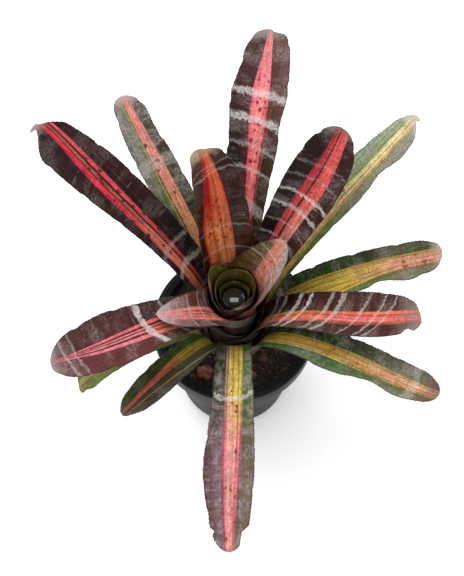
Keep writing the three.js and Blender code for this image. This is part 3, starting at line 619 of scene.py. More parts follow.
class LeafSkin(Shader):
    """The skin of one leaf, in layers. Its textures lie in the leaf's own plan, in millimetres."""

    def __init__(self, name, look, number, settings):
        super().__init__(name)
        self.look = look
        self.number = number
        self.settings = settings
        self.stripe = self.attribute("stripe")
        self.span = self.attribute("span")
        self.blade = self.attribute("blade")
        shift = self.add("ShaderNodeVectorMath", operation="ADD")
        self.feed(shift.inputs[0], self.attribute("plan", "Vector"))
        self.feed(shift.inputs[1], (37.0 * number, 91.0 * number, 5.0 * number))
        self.plan = shift.outputs[0]
        self.streak = self.noise(self.stretch(self.plan, (0.75, 0.02, 1)), 1.0, 3.0, 0.6)
        self.fibre = self.noise(self.stretch(self.plan, (1.6, 0.05, 1)), 1.0, 2.0, 0.6)
        self.mottle = self.noise(self.plan, 0.12, 5.0, 0.65)
        self.powder = self.noise(self.plan, 0.55, 4.0, 0.75)
        self.drift = self.noise(self.stretch(self.plan, (0.03, 0.06, 1)), 1.0, 3.0, 0.6)
        off_middle = self.math("ABSOLUTE", self.math("SUBTRACT", self.stripe, 0.5))
        self.outside = self.rise(off_middle, 0.5, 0.62)

    def striped(self):
        """The stripe and the sides, from their colours near the foot to those near the tip."""
        across = self.plus(self.stripe, self.scaled(self.streak, 0.08, -0.04))
        place = self.scaled(across, 1 / 3, 1 / 3)
        near = self.ramp(place, [((t + 1) / 3, c) for t, c in self.look["near"]])
        far = self.ramp(place, [((t + 1) / 3, c) for t, c in self.look["far"]])
        along = self.plus(self.blade, self.scaled(self.drift, 0.3, -0.15))
        color = self.mix(self.rise(along, *self.look["change"]), near, far)
        if self.number in DARK_LEAVES:
            color = self.mix(self.outside, color, DARK_TINT, "MULTIPLY")
        return color

    def mottled(self, color):
        """Patches of another tone on the sides, and streaks along the stripe."""
        tone, amount = self.look["mottle"]
        patch = self.times(self.rise(self.mottle, 0.48, 0.6), self.outside)
        color = self.mix(self.times(patch, amount), color, tone)
        streaks = self.rise(self.streak, 0.25, 0.75, 0.66, 1.3)
        color = self.shade(color, self.times(streaks, self.rise(self.fibre, 0.3, 0.7, 0.86, 1.1)))
        color = self.shade(color, self.rise(self.powder, 0.3, 0.7, 0.58, 1.38))
        return self.shade(color, self.rise(self.mottle, 0.35, 0.65, 0.82, 1.16))

    def powder_and_sheen(self, color):
        """Pale powder, thin or thick, on the upper side, which also paints a soft sheen on the skin."""
        dust = self.times(self.rise(self.drift, 0.44, 0.62), self.rise(self.powder, 0.36, 0.62))
        dust = self.times(dust, self.rise(self.outside, 0, 1, 0.3, 1))
        # The pale powder is partly real powder and partly a painted sheen
        return self.mix(self.times(dust, self.look["bloom_and_sheen"]), color, "#b0a49e")

    def spotted(self, color):
        """Dark blotches on the stripe, where the list gives the leaf any."""
        if "spots" not in self.look:
            return color
        tone, amount, start, end = self.look["spots"]
        amount = amount * self.settings.blotches
        warp = self.add("ShaderNodeVectorMath", operation="ADD")
        self.feed(warp.inputs[0], self.stretch(self.plan, (0.24, 0.17, 1)))
        jitter = self.add("ShaderNodeTexNoise")
        self.feed(jitter.inputs["Vector"], self.plan)
        self.feed(jitter.inputs["Scale"], 0.4)
        self.feed(warp.inputs[1], self.stretch(jitter.outputs["Color"], (0.7, 0.7, 0.0)))
        cell = self.cells(warp.outputs[0], 1.0)
        chance = self.add("ShaderNodeSeparateColor")
        self.feed(chance.inputs[0], cell.node.outputs["Color"])
        chosen = self.rise(chance.outputs[0], 1 - amount - 0.02, 1 - amount + 0.02)
        size = self.scaled(chance.outputs[1], 0.2, 0.2)
        spot = self.times(self.rise(self.math("SUBTRACT", cell, size), 0.07, -0.03), chosen)
        region = self.times(self.rise(self.blade, start - 0.03, start + 0.03),
                            self.rise(self.blade, end + 0.03, end - 0.03))
        inside = self.math("SUBTRACT", 1.0, self.outside)
        spot = self.times(self.times(spot, region), self.rise(inside, 0, 1))
        return self.mix(self.times(spot, 0.92), color, tone)

    def crossbands(self):
        """How much pale scurf there is, in faint lines and in crossbands with ragged edges.

        A colour ramp holds 32 stops, so the bands go into two of them.
        """
        lines = self.noise(self.stretch(self.plan, (0.02, 0.4, 1)), 1.0, 2.0, 0.5)
        faint = self.times(self.rise(lines, 0.62, 0.72), self.rise(self.mottle, 0.45, 0.6))
        scurf = self.times(faint, 0.3)
        bands = sorted(self.look.get("bands", ()))
        course = self.scaled(self.span, self.look.get("slant", 0.0), self.blade)
        course = self.plus(course, self.times(self.times(self.span, self.span), 0.012))
        course = self.plus(course, self.scaled(self.powder, 0.03, -0.015))
        course = self.plus(course, self.scaled(self.mottle, 0.05, -0.025))
        for group in (bands[:6], bands[6:]):
            stops = [(0.0, 0.0)]
            for at, wide, strength in group:
                half = 0.5 * wide
                stops += [(at - half - 0.004, 0.0), (at - half, strength), (at + half, strength),
                          (at + half + 0.004, 0.0)]
            if group:
                scurf = self.math("MAXIMUM", scurf, self.ramp(course, stops))
        scurf = self.times(scurf, self.rise(self.powder, 0.36, 0.56, 0.35, 1))
        return self.times(scurf, self.settings.scurf)

    def ended(self, color):
        """The tip's own colour and the dark margin."""
        tone, share = self.look["tip"]
        ending = self.plus(self.blade, self.scaled(self.mottle, share * 1.2, -share * 0.6))
        ending = self.rise(ending, 1 - share * 1.1, 1 - share * 0.1)
        color = self.mix(self.times(ending, self.rise(self.outside, 0, 1, 0.6, 0.92)), color, tone)
        edge = self.rise(self.math("ABSOLUTE", self.attribute("verge")), 0.94, 0.99)
        return self.mix(self.times(edge, 0.6), color, "#2a1c16")

    def backed(self, color):
        """The lower side, silvery with fine crossbands and darkened by painted shade, and the foot darkened
        by painted shade.
        """
        silver = self.noise(self.stretch(self.plan, (0.02, 0.22, 1)), 1.0, 3.0, 0.55)
        silver = self.times(self.rise(silver, 0.46, 0.6), self.rise(self.powder, 0.3, 0.6, 0.3, 1))
        back = self.mix(0.62, color, self.look["under"])
        # depth darkens the lower side: painted shade of the side that faces down
        back = self.shade(back, self.look.get("depth", 0.7))
        back = self.mix(self.times(silver, self.look.get("silver", 0.85)), back, "#b8b0a8")
        color = self.mix(self.attribute("under"), color, back)
        # The sheath is darkened towards its foot: painted shade deep in the rosette
        foot = self.rise(self.blade, 0.02, -0.25)
        return self.mix(self.times(foot, 0.6), color, self.shade(color, 0.45))


def leaf_finish(name, look, number, settings):
    """The striped, banded and mottled skin of one leaf."""
    skin = LeafSkin(name, look, number, settings)
    color = skin.spotted(skin.powder_and_sheen(skin.mottled(skin.striped())))
    scurf = skin.crossbands()
    color = skin.backed(skin.ended(skin.mix(scurf, color, POWDER_WHITE)))
    skin.set("Base Color", skin.shade(color, 0.62))
    rough = skin.rise(skin.mottle, 0.3, 0.7, settings.gloss, settings.gloss + 0.14)
    skin.set("Roughness", skin.plus(rough, skin.times(scurf, 0.25)))
    skin.set("Specular IOR Level", 0.12)
    height = skin.plus(skin.fibre, skin.times(skin.streak, 1.2))
    skin.bump(skin.plus(height, skin.times(skin.powder, 0.2)), 0.0003, 0.8)
    return skin.material


def spine_finish():
    shader = Shader("leaf spines")
    grain = shader.noise(shader.place(), 900.0, 2.0, 0.5)
    shader.set("Base Color", shader.ramp(grain, [(0.3, "#2a140c"), (0.7, "#5a3420")]))
    shader.set("Roughness", 0.5)
    return shader.material


def new_object(name, mesh):
    obj = bpy.data.objects.new(name, mesh)
    bpy.context.scene.collection.objects.link(obj)
    return obj


def finish_piece(obj, node):
    """Let a piece stand for its solid and ride on the part."""
    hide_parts(node)
    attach(obj, "root")


def mesh_from(name, points, faces, attributes=None):
    """A smooth mesh in metres from points in millimetres."""
    mesh = bpy.data.meshes.new(name)
    mesh.from_pydata((np.asarray(points) * MM).tolist(), [], faces)
    for key, values in (attributes or {}).items():
        values = np.asarray(values, float)
        kind = "FLOAT" if values.ndim == 1 else "FLOAT_VECTOR"
        layer = mesh.attributes.new(key, kind, "POINT")
        layer.data.foreach_set("value" if kind == "FLOAT" else "vector", values.ravel())
    mesh.update()
    mesh.shade_smooth()
    return mesh


def lathe(profile, segments):
    """Points and faces of a solid of revolution about Z, its profile starting and ending on the axis."""
    points = []
    faces = []
    rows = []
    for radius, height in profile:
        if radius < 1e-6:
            rows.append([len(points)] * segments)
            points.append((0.0, 0.0, height))
            continue
        rows.append(list(range(len(points), len(points) + segments)))
        for k in range(segments):
            turn = 2 * math.pi * k / segments
            points.append((radius * math.cos(turn), radius * math.sin(turn), height))
    for low, high in zip(rows, rows[1:]):
        for k in range(segments):
            n = (k + 1) % segments
            face = [low[k], low[n], high[n], high[k]]
            face = [v for i, v in enumerate(face) if v not in face[:i]]
            if len(face) > 2:
                faces.append(face)
    return points, faces


def rounded(profile, radii, steps=4):
    """A profile with its corners turned to arcs; radii has the corners' radii by index."""
    result = []
    last = len(profile) - 1
    for i, (x, y) in enumerate(profile):
        radius = radii.get(i, 0)
        if radius <= 0 or i in (0, last):
            result.append((x, y))
            continue
        here = np.array((x, y), float)
        back = np.array(profile[i - 1], float) - here
        on = np.array(profile[i + 1], float) - here
        reach = min(radius, 0.45 * np.linalg.norm(back), 0.45 * np.linalg.norm(on))
        start = here + back / np.linalg.norm(back) * reach
        end = here + on / np.linalg.norm(on) * reach
        for k in range(steps + 1):
            t = k / steps
            result.append(tuple(start * (1 - t) ** 2 + here * 2 * t * (1 - t) + end * t * t))
    return result


def length(name, description, default):
    """A setting that is a length in metres."""
    return bpy.props.FloatProperty(name=name, description=description, default=default, unit="LENGTH")


def part_of_one(name, description, default):
    """A setting that runs from 0 to 1."""
    return bpy.props.FloatProperty(name=name, description=description, default=default, min=0, max=1,
                                   subtype="FACTOR")


class PotSettings(bpy.types.PropertyGroup):
    """Sizes and colour of the pot."""

    height: length("Height", "Height of the pot", POT_BOX[1][2])
    rim_radius: length("Rim radius", "Outer radius of the turned-down rim", POT_BOX[1][0])
    base_radius: length("Base radius", "Radius of the pot's foot", 0.054)
    skirt: length("Skirt", "How far the rim is turned down", 0.018)
    holes: bpy.props.IntProperty(
        name="Holes", description="Number of drainage holes in the base", default=8, min=3, max=12)
    color: bpy.props.FloatVectorProperty(
        name="Colour", description="Colour of the plastic", subtype="COLOR", size=4,
        default=linear("#161618"), min=0, max=1)


class SoilSettings(bpy.types.PropertyGroup):
    """Sizes and colour of the potting mix."""

    level: length("Level", "Height of the soil's surface", 0.114)
    crumb: length("Crumb", "Size of a fine crumb", 0.0016)
    clod: length("Clod", "Size of a coarse crumb", 0.0034)
    crumbs: bpy.props.FloatProperty(
        name="Crumbs", description="Fine crumbs on a square centimetre", default=36.0, min=0, max=80)
    seed: bpy.props.IntProperty(name="Seed", description="Seed of the crumbs' places", default=7)


class LeafSettings(bpy.types.PropertyGroup):
    """Sizes and finish of the leaves."""

    middle: length("Middle", "Thickness along a leaf's middle", 0.0012)
    edge: length("Edge", "Thickness at a leaf's margin", 0.0006)
    spine: length("Spine", "Length of a marginal spine", 0.0011)
    pitch: length("Pitch", "Distance between marginal spines", 0.0034)
    blotches: bpy.props.FloatProperty(
        name="Blotches", description="How many dark blotches show, 1 being as in the list", default=1.4)
    scurf: part_of_one("Scurf", "Strength of the pale crossbands", 0.85)
    gloss: part_of_one("Roughness", "Roughness of the smoothest skin", 0.36)


class StageSettings(bpy.types.PropertyGroup):
    """The floor, the lights and the camera."""

    floor: length("Floor", "Width of the floor", 8.0)
    key: bpy.props.FloatProperty(
        name="Key light", description="Power of the large soft light", default=20.0)
    sky: bpy.props.FloatProperty(
        name="Surround", description="Brightness of the white surround", default=1.4)
    elevation: bpy.props.FloatProperty(
        name="Elevation", description="How steeply the camera looks down", default=math.radians(64.5),
        subtype="ANGLE")


def pot_geometry(settings):
    """Points and faces of the pot's wall, with its turned-down rim, bead and grooves."""
    top = settings.height / MM
    skirt = settings.rim_radius / MM
    foot = settings.base_radius / MM
    under = top - settings.skirt / MM
    mouth = skirt - POT["rim"]
    floor = POT["floor"]
    inner_foot = foot - POT["wall"]
    shoulder = mouth - 1
    body = shoulder + POT["wall"]

    def inside(height):
        return inner_foot + (shoulder - inner_foot) * (height - floor) / (under - floor)

    turn_up = under + 0.3
    groove = top - 0.8
    ridge = top - 0.1
    profile = [
        (0, 1.1), (foot - 18, 1.1), (foot - 16.5, 0.05), (foot - 2, 0.05), (foot, 1.6), (body, under),
        (body + 0.7, top - 2.6), (skirt - 1.9, top - 2.6), (skirt - 2.4, turn_up), (skirt - 1.6, under),
        (skirt - 0.7, turn_up), (skirt, top - 2.4), (skirt - 0.25, top - 0.6), (skirt - 1.5, top),
        (mouth + 4.3, top), (mouth + 3.9, groove), (mouth + 3.1, groove), (mouth + 2.8, ridge),
        (mouth + 2.3, ridge), (mouth + 2.0, groove), (mouth + 1.6, groove), (mouth + 1.1, ridge),
        (mouth + 0.4, top - 0.2), (mouth, top - 1.2), (inside(under), under),
        (inside(floor + 3), floor + 3), (inside(floor) - 2.6, floor), (0, floor),
    ]
    radii = {i: 0.8 for i in range(1, len(profile) - 1)}
    radii.update({3: 2.0, 4: 2.0, 12: 1.2, 13: 1.4, 25: 3.0})
    return lathe(rounded(profile, radii), 128)


def drill_holes(obj, settings):
    """Cut the drainage holes through the base."""
    mesh = bpy.data.meshes.new("drill")
    tool = bmesh.new()
    radius = POT["hole_radius"] * MM
    circle = POT["hole_circle"] * MM
    for k in range(settings.holes):
        turn = 2 * math.pi * k / settings.holes
        ring = bmesh.ops.create_cone(tool, cap_ends=True, segments=24, radius1=radius, radius2=radius,
                                     depth=12 * MM)
        place = Vector((circle * math.cos(turn), circle * math.sin(turn), 0))
        bmesh.ops.translate(tool, verts=ring["verts"], vec=place)
    tool.to_mesh(mesh)
    tool.free()
    cutter = new_object("drill", mesh)
    cut = obj.modifiers.new("holes", "BOOLEAN")
    cut.object = cutter
    cut.operation = "DIFFERENCE"
    cut.solver = "EXACT"
    bake_modifiers(obj)
    bpy.data.objects.remove(cutter)


def bake_modifiers(obj):
    """Give a piece the mesh that its modifiers make, and take them off."""
    bpy.context.view_layer.update()
    graph = bpy.context.evaluated_depsgraph_get()
    mesh = bpy.data.meshes.new_from_object(obj.evaluated_get(graph), depsgraph=graph)
    obj.modifiers.clear()
    obj.data = mesh
    return mesh


def plastic_finish(settings):
    shader = Shader("pot plastic")
    place = shader.place()
    cloud = shader.noise(place, 24.0, 4.0, 0.6)
    grain = shader.noise(place, 2600.0, 2.0, 0.5)
    scratch = shader.noise(shader.stretch(place, (30, 30, 900)), 1.0, 3.0, 0.6)
    dark = shader.mix(shader.rise(cloud, 0.3, 0.7), tuple(settings.color), "#151414")
    dust = shader.times(shader.rise(cloud, 0.5, 0.75), shader.rise(grain, 0.4, 0.7))
    shader.set("Base Color", shader.mix(shader.times(dust, 0.04), dark, "#6a635c"))
    rough = shader.rise(cloud, 0.3, 0.7, 0.36, 0.46)
    shader.set("Roughness", shader.plus(rough, shader.times(scratch, 0.06)))
    shader.set("Specular IOR Level", 0.08)
    height = shader.plus(grain, shader.times(scratch, 0.4))
    shader.bump(height, 0.00006, 0.5)
    return shader.material


def soil_relief(x, y, z):
    """Height in millimetres of the rough surface of the mix."""
    place = Vector((x * 0.09, y * 0.09, z))
    rough = noise.fractal(place, 0.9, 2.1, 4)
    lumps = noise.noise(Vector((x * 0.33, y * 0.33, 5.0)))
    return 1.5 * rough + 0.7 * lumps


def soil_geometry(settings):
    """Points and faces of the mix: a filled pot with a rough top and a seat for the crown."""
    level = settings.level / MM
    floor = SOIL["floor"]
    seat = CROWN["radius"] + 1
    edge = SOIL_BOX[1][0] / MM
    foot = SOIL["foot_radius"]
    profile = [(0, floor), (foot, floor), (foot + 2.7, floor + 3), (edge - 0.3, SOIL["skirt"])]
    rings = 34
    for i in range(rings + 1):
        profile.append((edge + (seat - edge) * i / rings, level))
    root = CROWN["root_radius"] + 0.4
    collar = CROWN["collar"] - 0.5
    root_end = CROWN["root_end"] - 0.4
    profile += [(seat, collar), (root, collar), (root, root_end), (0, root_end)]
    points, faces = lathe(profile, 180)
    result = []
    for x, y, z in points:
        radius = math.hypot(x, y)
        if abs(z - level) < 0.01:
            calm = min(1.0, (radius - seat) / 5)
            z += calm * soil_relief(x, y, 0.0)
            z += 1.2 * float(smoothstep(radius, edge - 7, edge))
        result.append((x, y, z))
    return result, faces


def soil_finish():
    shader = Shader("potting mix")
    place = shader.place()
    cloud = shader.noise(place, 160.0, 5.0, 0.65)
    grain = shader.noise(place, 900.0, 4.0, 0.7)
    base = shader.ramp(cloud, [(0.3, "#060403"), (0.5, "#120b07"), (0.7, "#24150d")])
    fleck = shader.cells(place, 700.0)
    fleck = shader.times(shader.rise(fleck, 0.32, 0.2), shader.rise(cloud, 0.5, 0.62))
    shader.set("Base Color", shader.mix(shader.times(fleck, 0.7), base, "#5a2e1e"))
    shader.set("Roughness", shader.rise(grain, 0.3, 0.7, 0.75, 0.95))
    shader.bump(shader.plus(cloud, grain), 0.0008, 0.9)
    return shader.material


def crumb_finish(name, stops, rough=0.85):
    """Crumbs whose tone goes from grain to grain."""
    shader = Shader(name)
    tone = shader.attribute("tone")
    grain = shader.noise(shader.place(), 1500.0, 3.0, 0.65)
    color = shader.ramp(tone, stops)
    shader.set("Base Color", shader.shade(color, shader.rise(grain, 0.25, 0.75, 0.6, 1.25)))
    shader.set("Roughness", shader.rise(grain, 0.3, 0.7, rough - 0.1, rough + 0.08))
    shader.bump(grain, 0.0003, 0.8)
    return shader.material


def crumb_kinds(settings):
    """Each kind's label, size, number on a square metre, spread of sizes and finish."""
    brown = crumb_finish("fine crumbs", [(0.0, "#080504"), (0.45, "#150d08"), (0.75, "#2a180e"),
                                         (0.92, "#54301f"), (1.0, "#7a4a34")])
    coarse = crumb_finish("coarse crumbs", [(0.0, "#0a0605"), (0.5, "#1a100a"), (0.8, "#3a2014"),
                                            (1.0, "#6a3c28")])
    pale = crumb_finish("pale grains", [(0.0, "#8a7a60"), (0.5, "#b8a888"), (1.0, "#d8ccb0")], 0.7)
    return [
        ("crumbs", settings.crumb, settings.crumbs * 1e4, 1.7, brown),
        ("clods", settings.clod, 3.4e4, 1.6, coarse),
        ("grains", 0.0011, 0.42e4, 1.5, pale),
    ]


def crumb_bed(points, faces, level):
    """The part of the mix's surface that crumbs lie on, clear of the crown and of the wall."""
    top = []
    for face in faces:
        corners = [points[i] for i in face]
        near = all(abs(z - level) < 4.5 for _, _, z in corners)
        if near and all(CROWN["radius"] + 1.5 < math.hypot(x, y) < SOIL["bed_radius"] for x, y, _ in corners):
            top.append(face)
    return mesh_from("bed", points, top)


class NodeTree:
    """A geometry node tree with named inputs, and short ways to add its nodes."""

    def __init__(self, name, inputs):
        self.tree = bpy.data.node_groups.new(name, "GeometryNodeTree")
        self.tree.interface.new_socket("Geometry", in_out="INPUT", socket_type="NodeSocketGeometry")
        self.keys = {}
        for label, kind in inputs:
            socket = self.tree.interface.new_socket(label, in_out="INPUT", socket_type=kind)
            self.keys[label] = socket.identifier
        self.tree.interface.new_socket("Geometry", in_out="OUTPUT", socket_type="NodeSocketGeometry")
        self.inputs = self.add("NodeGroupInput").outputs
        self.result = self.add("NodeGroupOutput").inputs["Geometry"]

    def add(self, kind, feeds=None, **values):
        node = self.tree.nodes.new(kind)
        for name, value in values.items():
            setattr(node, name, value)
        for name, value in (feeds or {}).items():
            socket = node.inputs[name]
            if isinstance(value, bpy.types.NodeSocket):
                self.tree.links.new(value, socket)
            else:
                socket.default_value = value
        return node

    def end(self, geometry):
        """Realize what was scattered, give it its material and end the tree."""
        real = self.add("GeometryNodeRealizeInstances", {"Geometry": geometry})
        coat = self.add("GeometryNodeSetMaterial",
                        {"Geometry": real.outputs[0], "Material": self.inputs["Material"]})
        self.tree.links.new(coat.outputs[0], self.result)

    def run(self, obj, values):
        """Run the tree on an object and keep the plain mesh."""
        modifier = obj.modifiers.new(self.tree.name, "NODES")
        modifier.node_group = self.tree
        for label, value in values.items():
            modifier[self.keys[label]] = value
        return bake_modifiers(obj)


def crumb_tree():
    """Crumbs scattered on a surface: lumpy, each turned and sized by chance."""
    nodes = NodeTree("crumb scatter", [
        ("Density", "NodeSocketFloat"), ("Size", "NodeSocketFloat"), ("Spread", "NodeSocketFloat"),
        ("Lumpiness", "NodeSocketFloat"), ("Seed", "NodeSocketInt"), ("Material", "NodeSocketMaterial")])
    inputs = nodes.inputs
    seed = inputs["Seed"]
    points = nodes.add("GeometryNodeDistributePointsOnFaces",
                       {"Mesh": inputs["Geometry"], "Density": inputs["Density"], "Seed": seed})
    grain = nodes.add("GeometryNodeMeshIcoSphere", {"Radius": 0.5, "Subdivisions": 2})
    turn = nodes.add("FunctionNodeRandomValue", {"Seed": seed, "Max": (FULL_TURN, FULL_TURN, FULL_TURN)},
                     data_type="FLOAT_VECTOR")
    low = nodes.add("ShaderNodeMath", {0: inputs["Size"], 1: inputs["Spread"]}, operation="DIVIDE")
    high = nodes.add("ShaderNodeMath", {0: inputs["Size"], 1: inputs["Spread"]}, operation="MULTIPLY")
    size = nodes.add("FunctionNodeRandomValue", {"Seed": seed, 2: low.outputs[0], 3: high.outputs[0]},
                     data_type="FLOAT")
    shape = nodes.add("FunctionNodeRandomValue",
                      {"Seed": seed, "Min": (0.65, 0.7, 0.5), "Max": (1.25, 1.1, 0.95)},
                      data_type="FLOAT_VECTOR")
    scale = nodes.add("ShaderNodeVectorMath", {0: shape.outputs[0], "Scale": size.outputs[1]},
                      operation="SCALE")
    spread = nodes.add("GeometryNodeInstanceOnPoints",
                       {"Points": points.outputs["Points"], "Instance": grain.outputs["Mesh"],
                        "Rotation": turn.outputs[0], "Scale": scale.outputs[0]})
    chance = nodes.add("FunctionNodeRandomValue", {"Seed": 3}, data_type="FLOAT")
    toned = nodes.add("GeometryNodeStoreNamedAttribute",
                      {"Geometry": spread.outputs[0], "Name": "tone", "Value": chance.outputs[1]},
                      data_type="FLOAT", domain="INSTANCE")
    real = nodes.add("GeometryNodeRealizeInstances", {"Geometry": toned.outputs[0]})
    place = nodes.add("GeometryNodeInputPosition")
    rough = nodes.add("ShaderNodeTexNoise", {"Vector": place.outputs[0], "Scale": 420.0, "Detail": 2.0})
    centred = nodes.add("ShaderNodeVectorMath", {0: rough.outputs["Color"], 1: (0.5, 0.5, 0.5)},
                        operation="SUBTRACT")
    reach = nodes.add("ShaderNodeMath", {0: inputs["Size"], 1: inputs["Lumpiness"]}, operation="MULTIPLY")
    push = nodes.add("ShaderNodeVectorMath", {0: centred.outputs[0], "Scale": reach.outputs[0]},
                     operation="SCALE")
    moved = nodes.add("GeometryNodeSetPosition", {"Geometry": real.outputs[0], "Offset": push.outputs[0]})
    nodes.end(moved.outputs[0])
    return nodes


def spine_tree():
    """Small hard points set along a leaf's margins, leaning the way that each margin does."""
    nodes = NodeTree("spine row", [
        ("Pitch", "NodeSocketFloat"), ("Length", "NodeSocketFloat"), ("Base", "NodeSocketFloat"),
        ("Seed", "NodeSocketInt"), ("Material", "NodeSocketMaterial")])
    inputs = nodes.inputs
    curve = nodes.add("GeometryNodeMeshToCurve", {"Mesh": inputs["Geometry"]})
    even = nodes.add("GeometryNodeResampleCurve", {"Curve": curve.outputs[0], "Length": inputs["Pitch"]},
                     mode="LENGTH")
    cone = nodes.add("GeometryNodeMeshCone", {"Vertices": 5, "Radius Bottom": inputs["Base"],
                                              "Depth": inputs["Length"]})
    lean = nodes.add("GeometryNodeInputNamedAttribute", {"Name": "lean"}, data_type="FLOAT_VECTOR")
    turn = nodes.add("FunctionNodeAlignRotationToVector", {"Vector": lean.outputs["Attribute"]}, axis="Z")
    size = nodes.add("FunctionNodeRandomValue", {"Seed": inputs["Seed"], 2: 0.65, 3: 1.15},
                     data_type="FLOAT")
    row = nodes.add("GeometryNodeInstanceOnPoints",
                    {"Points": even.outputs[0], "Instance": cone.outputs["Mesh"],
                     "Rotation": turn.outputs[0], "Scale": size.outputs[1]})
    nodes.end(row.outputs[0])
    return nodes


def leaf_stations(shape):
    """Distances along a leaf: even steps, and closer ones where the end has its own outline."""
    close = min(34.0, 0.5 * shape.leaf["blade"])
    start = shape.length - close
    even = np.linspace(0, start, max(int(round(start / 2.4)), 12) + 1)
    ends = np.concatenate([np.arange(close - 1.1, 0.8, -1.1), [0.5, 0.15, 0.0]])
    return np.concatenate([even, shape.length - ends])


def waver(s, v, number):
    """A slight unevenness of the blade, in millimetres."""
    a = np.sin(s / 13 + 1.7 * number) * np.cos(2.3 * v + number)
    b = np.sin(s / 7.3 - 2.1 * number + 3 * v)
    return 0.22 * a + 0.12 * b


def ragged_edge(s, number, hand):
    """Small teeth and dents along a margin, in millimetres."""
    tooth = np.abs(np.sin(s * 0.9 + number + hand))
    dent = np.sin(s * 0.31 + 2.3 * number + 4 * hand) + np.sin(s * 0.17 + 5 * hand)
    return -0.4 * tooth - 0.3 * np.maximum(dent, 0) ** 2


def leaf_sheet(shape, number, s):
    """The leaf's middle surface: places across it, points, normals and outward directions."""
    left, right = shape.margins(s)
    strip = 0.8 if number >= INNER_RING else 1.6
    columns = 2 * int(round(max(left.max(), right.max()) / strip))
    v = np.linspace(-1, 1, columns + 1)[None]
    share = shape.share(s)
    rough = smoothstep(share, 0.02, 0.1)
    left = left + rough * ragged_edge(s, number, -1)
    right = right + rough * ragged_edge(s, number, 1)
    across = 0.5 * (right - left)[:, None] + v * 0.5 * (right + left)[:, None]
    points, normals, outward = shape.surface(s, across)
    uneven = waver(s[:, None], v, number) * smoothstep(share, 0.08, 0.35)[:, None]
    return v, across, points + normals * uneven[..., None], normals, outward


def leaf_rings(shape, settings, s, sheet):
    """Rings of points round the section, thickest in the middle, and its two rounded margins."""
    v, _, points, normals, outward = sheet
    full = smoothstep(0.5 * sum(shape.margins(s)), 0.3, 4.0)[:, None]
    middle = settings.middle / MM
    edge = settings.edge / MM
    thick = 0.5 * (edge + (middle - edge) * (1 - v * v)) * (0.4 + 0.6 * full)
    upper = points + normals * thick[..., None]
    lower = (points - normals * thick[..., None])[:, ::-1]
    lip = 0.5 * edge * full
    rim = np.stack([points[:, 0] - outward[:, 0] * lip, points[:, -1] + outward[:, -1] * lip], 1)
    return np.concatenate([rim[:, :1], upper, rim[:, 1:], lower], 1), rim


def leaf_attributes(shape, look, s, sheet):
    """What the finish reads: the place across and along, the stripe, the blade and the side."""
    v, across = sheet[:2]
    place = np.concatenate([across[:, :1], across, across[:, -1:], across[:, ::-1]], 1)
    size = place.shape
    span = place / shape.half_width(s)[:, None]
    verge = np.broadcast_to(np.concatenate([[-1.0], v[0], [1.0], v[0][::-1]]), size)
    under = np.broadcast_to(np.concatenate([[0.5], np.zeros(v.size), [0.5], np.ones(v.size)]), size)
    start = through(look["left"], shape.share(s))[:, None]
    end = through(look["right"], shape.share(s))[:, None]
    stripe = (span - start) / (end - start)
    plan = np.stack([place, np.broadcast_to(s[:, None], size), 3 * under], -1)
    blade = np.broadcast_to(((s - shape.sheath) / shape.leaf["blade"])[:, None], size)

    def with_tip(values, tip):
        return np.concatenate([np.asarray(values).reshape(-1, *np.shape(values)[2:]), [tip]])

    return {
        "span": with_tip(span, span[-1].mean()),
        "verge": with_tip(verge, 0.0),
        "under": with_tip(under, 0.0),
        "stripe": with_tip(stripe, stripe[-1].mean()),
        "blade": with_tip(blade, 1.0),
        "plan": with_tip(plan, (shape.end_point()[1], shape.length, 0.0)),
    }


def ring_faces(rows, ring):
    """Faces between rings of points, the first ring closed and the last drawn to one point."""
    faces = []
    for i in range(rows - 1):
        for j in range(ring):
            n = (j + 1) % ring
            faces.append((i * ring + j, i * ring + n, (i + 1) * ring + n, (i + 1) * ring + j))
    faces.append(tuple(reversed(range(ring))))
    base = (rows - 1) * ring
    for j in range(ring):
        faces.append((base + j, base + (j + 1) % ring, rows * ring))
    return faces


def leaf_mesh(number, settings):
    """The mesh of one leaf, with what its finish reads, and its two margins."""
    shape = LeafShape(number)
    s = leaf_stations(shape)
    sheet = leaf_sheet(shape, number, s)
    rings, rim = leaf_rings(shape, settings, s, sheet)
    beyond, aside = shape.end_point()
    point = shape.surface(np.array([shape.length + beyond]), np.array([[aside]]))[0][0, 0]
    places = np.vstack([rings.reshape(-1, 3), point])
    faces = ring_faces(len(s), rings.shape[1])
    mesh = mesh_from(leaf_name(number), places, faces, leaf_attributes(shape, LOOKS[number], s, sheet))

    outward = sheet[-1]
    forward = shape.directions(s)[0]
    keep = (s > shape.sheath + 3) & (s < shape.length - 7)
    margins = []
    for column, hand in ((0, -1.0), (-1, 1.0)):
        side = outward[keep, column]
        margins.append((rim[keep, column] - 0.15 * hand * side, 0.8 * hand * side + 0.6 * forward[keep]))
    return mesh, margins


def margin_object(margins):
    """The leaf's margins as chains of edges that carry the way their spines lean."""
    points = np.concatenate([m[0] for m in margins])
    leans = np.concatenate([m[1] for m in margins])
    edges = []
    start = 0
    for places, _ in margins:
        edges += [(start + i, start + i + 1) for i in range(len(places) - 1)]
        start += len(places)
    mesh = bpy.data.meshes.new("margin")
    mesh.from_pydata((points * MM).tolist(), edges, [])
    layer = mesh.attributes.new("lean", "FLOAT_VECTOR", "POINT")
    layer.data.foreach_set("vector", leans.ravel())
    return new_object("margin", mesh)


def joined(meshes, name):
    """One mesh of several, each keeping its own material slot."""
    work = bmesh.new()
    result = bpy.data.meshes.new(name)
    for index, mesh in enumerate(meshes):
        start = len(work.faces)
        work.from_mesh(mesh)
        work.faces.ensure_lookup_table()
        for face in work.faces[start:]:
            face.material_index = index
            face.smooth = index == 0 or face.smooth
    work.to_mesh(result)
    work.free()
    return result


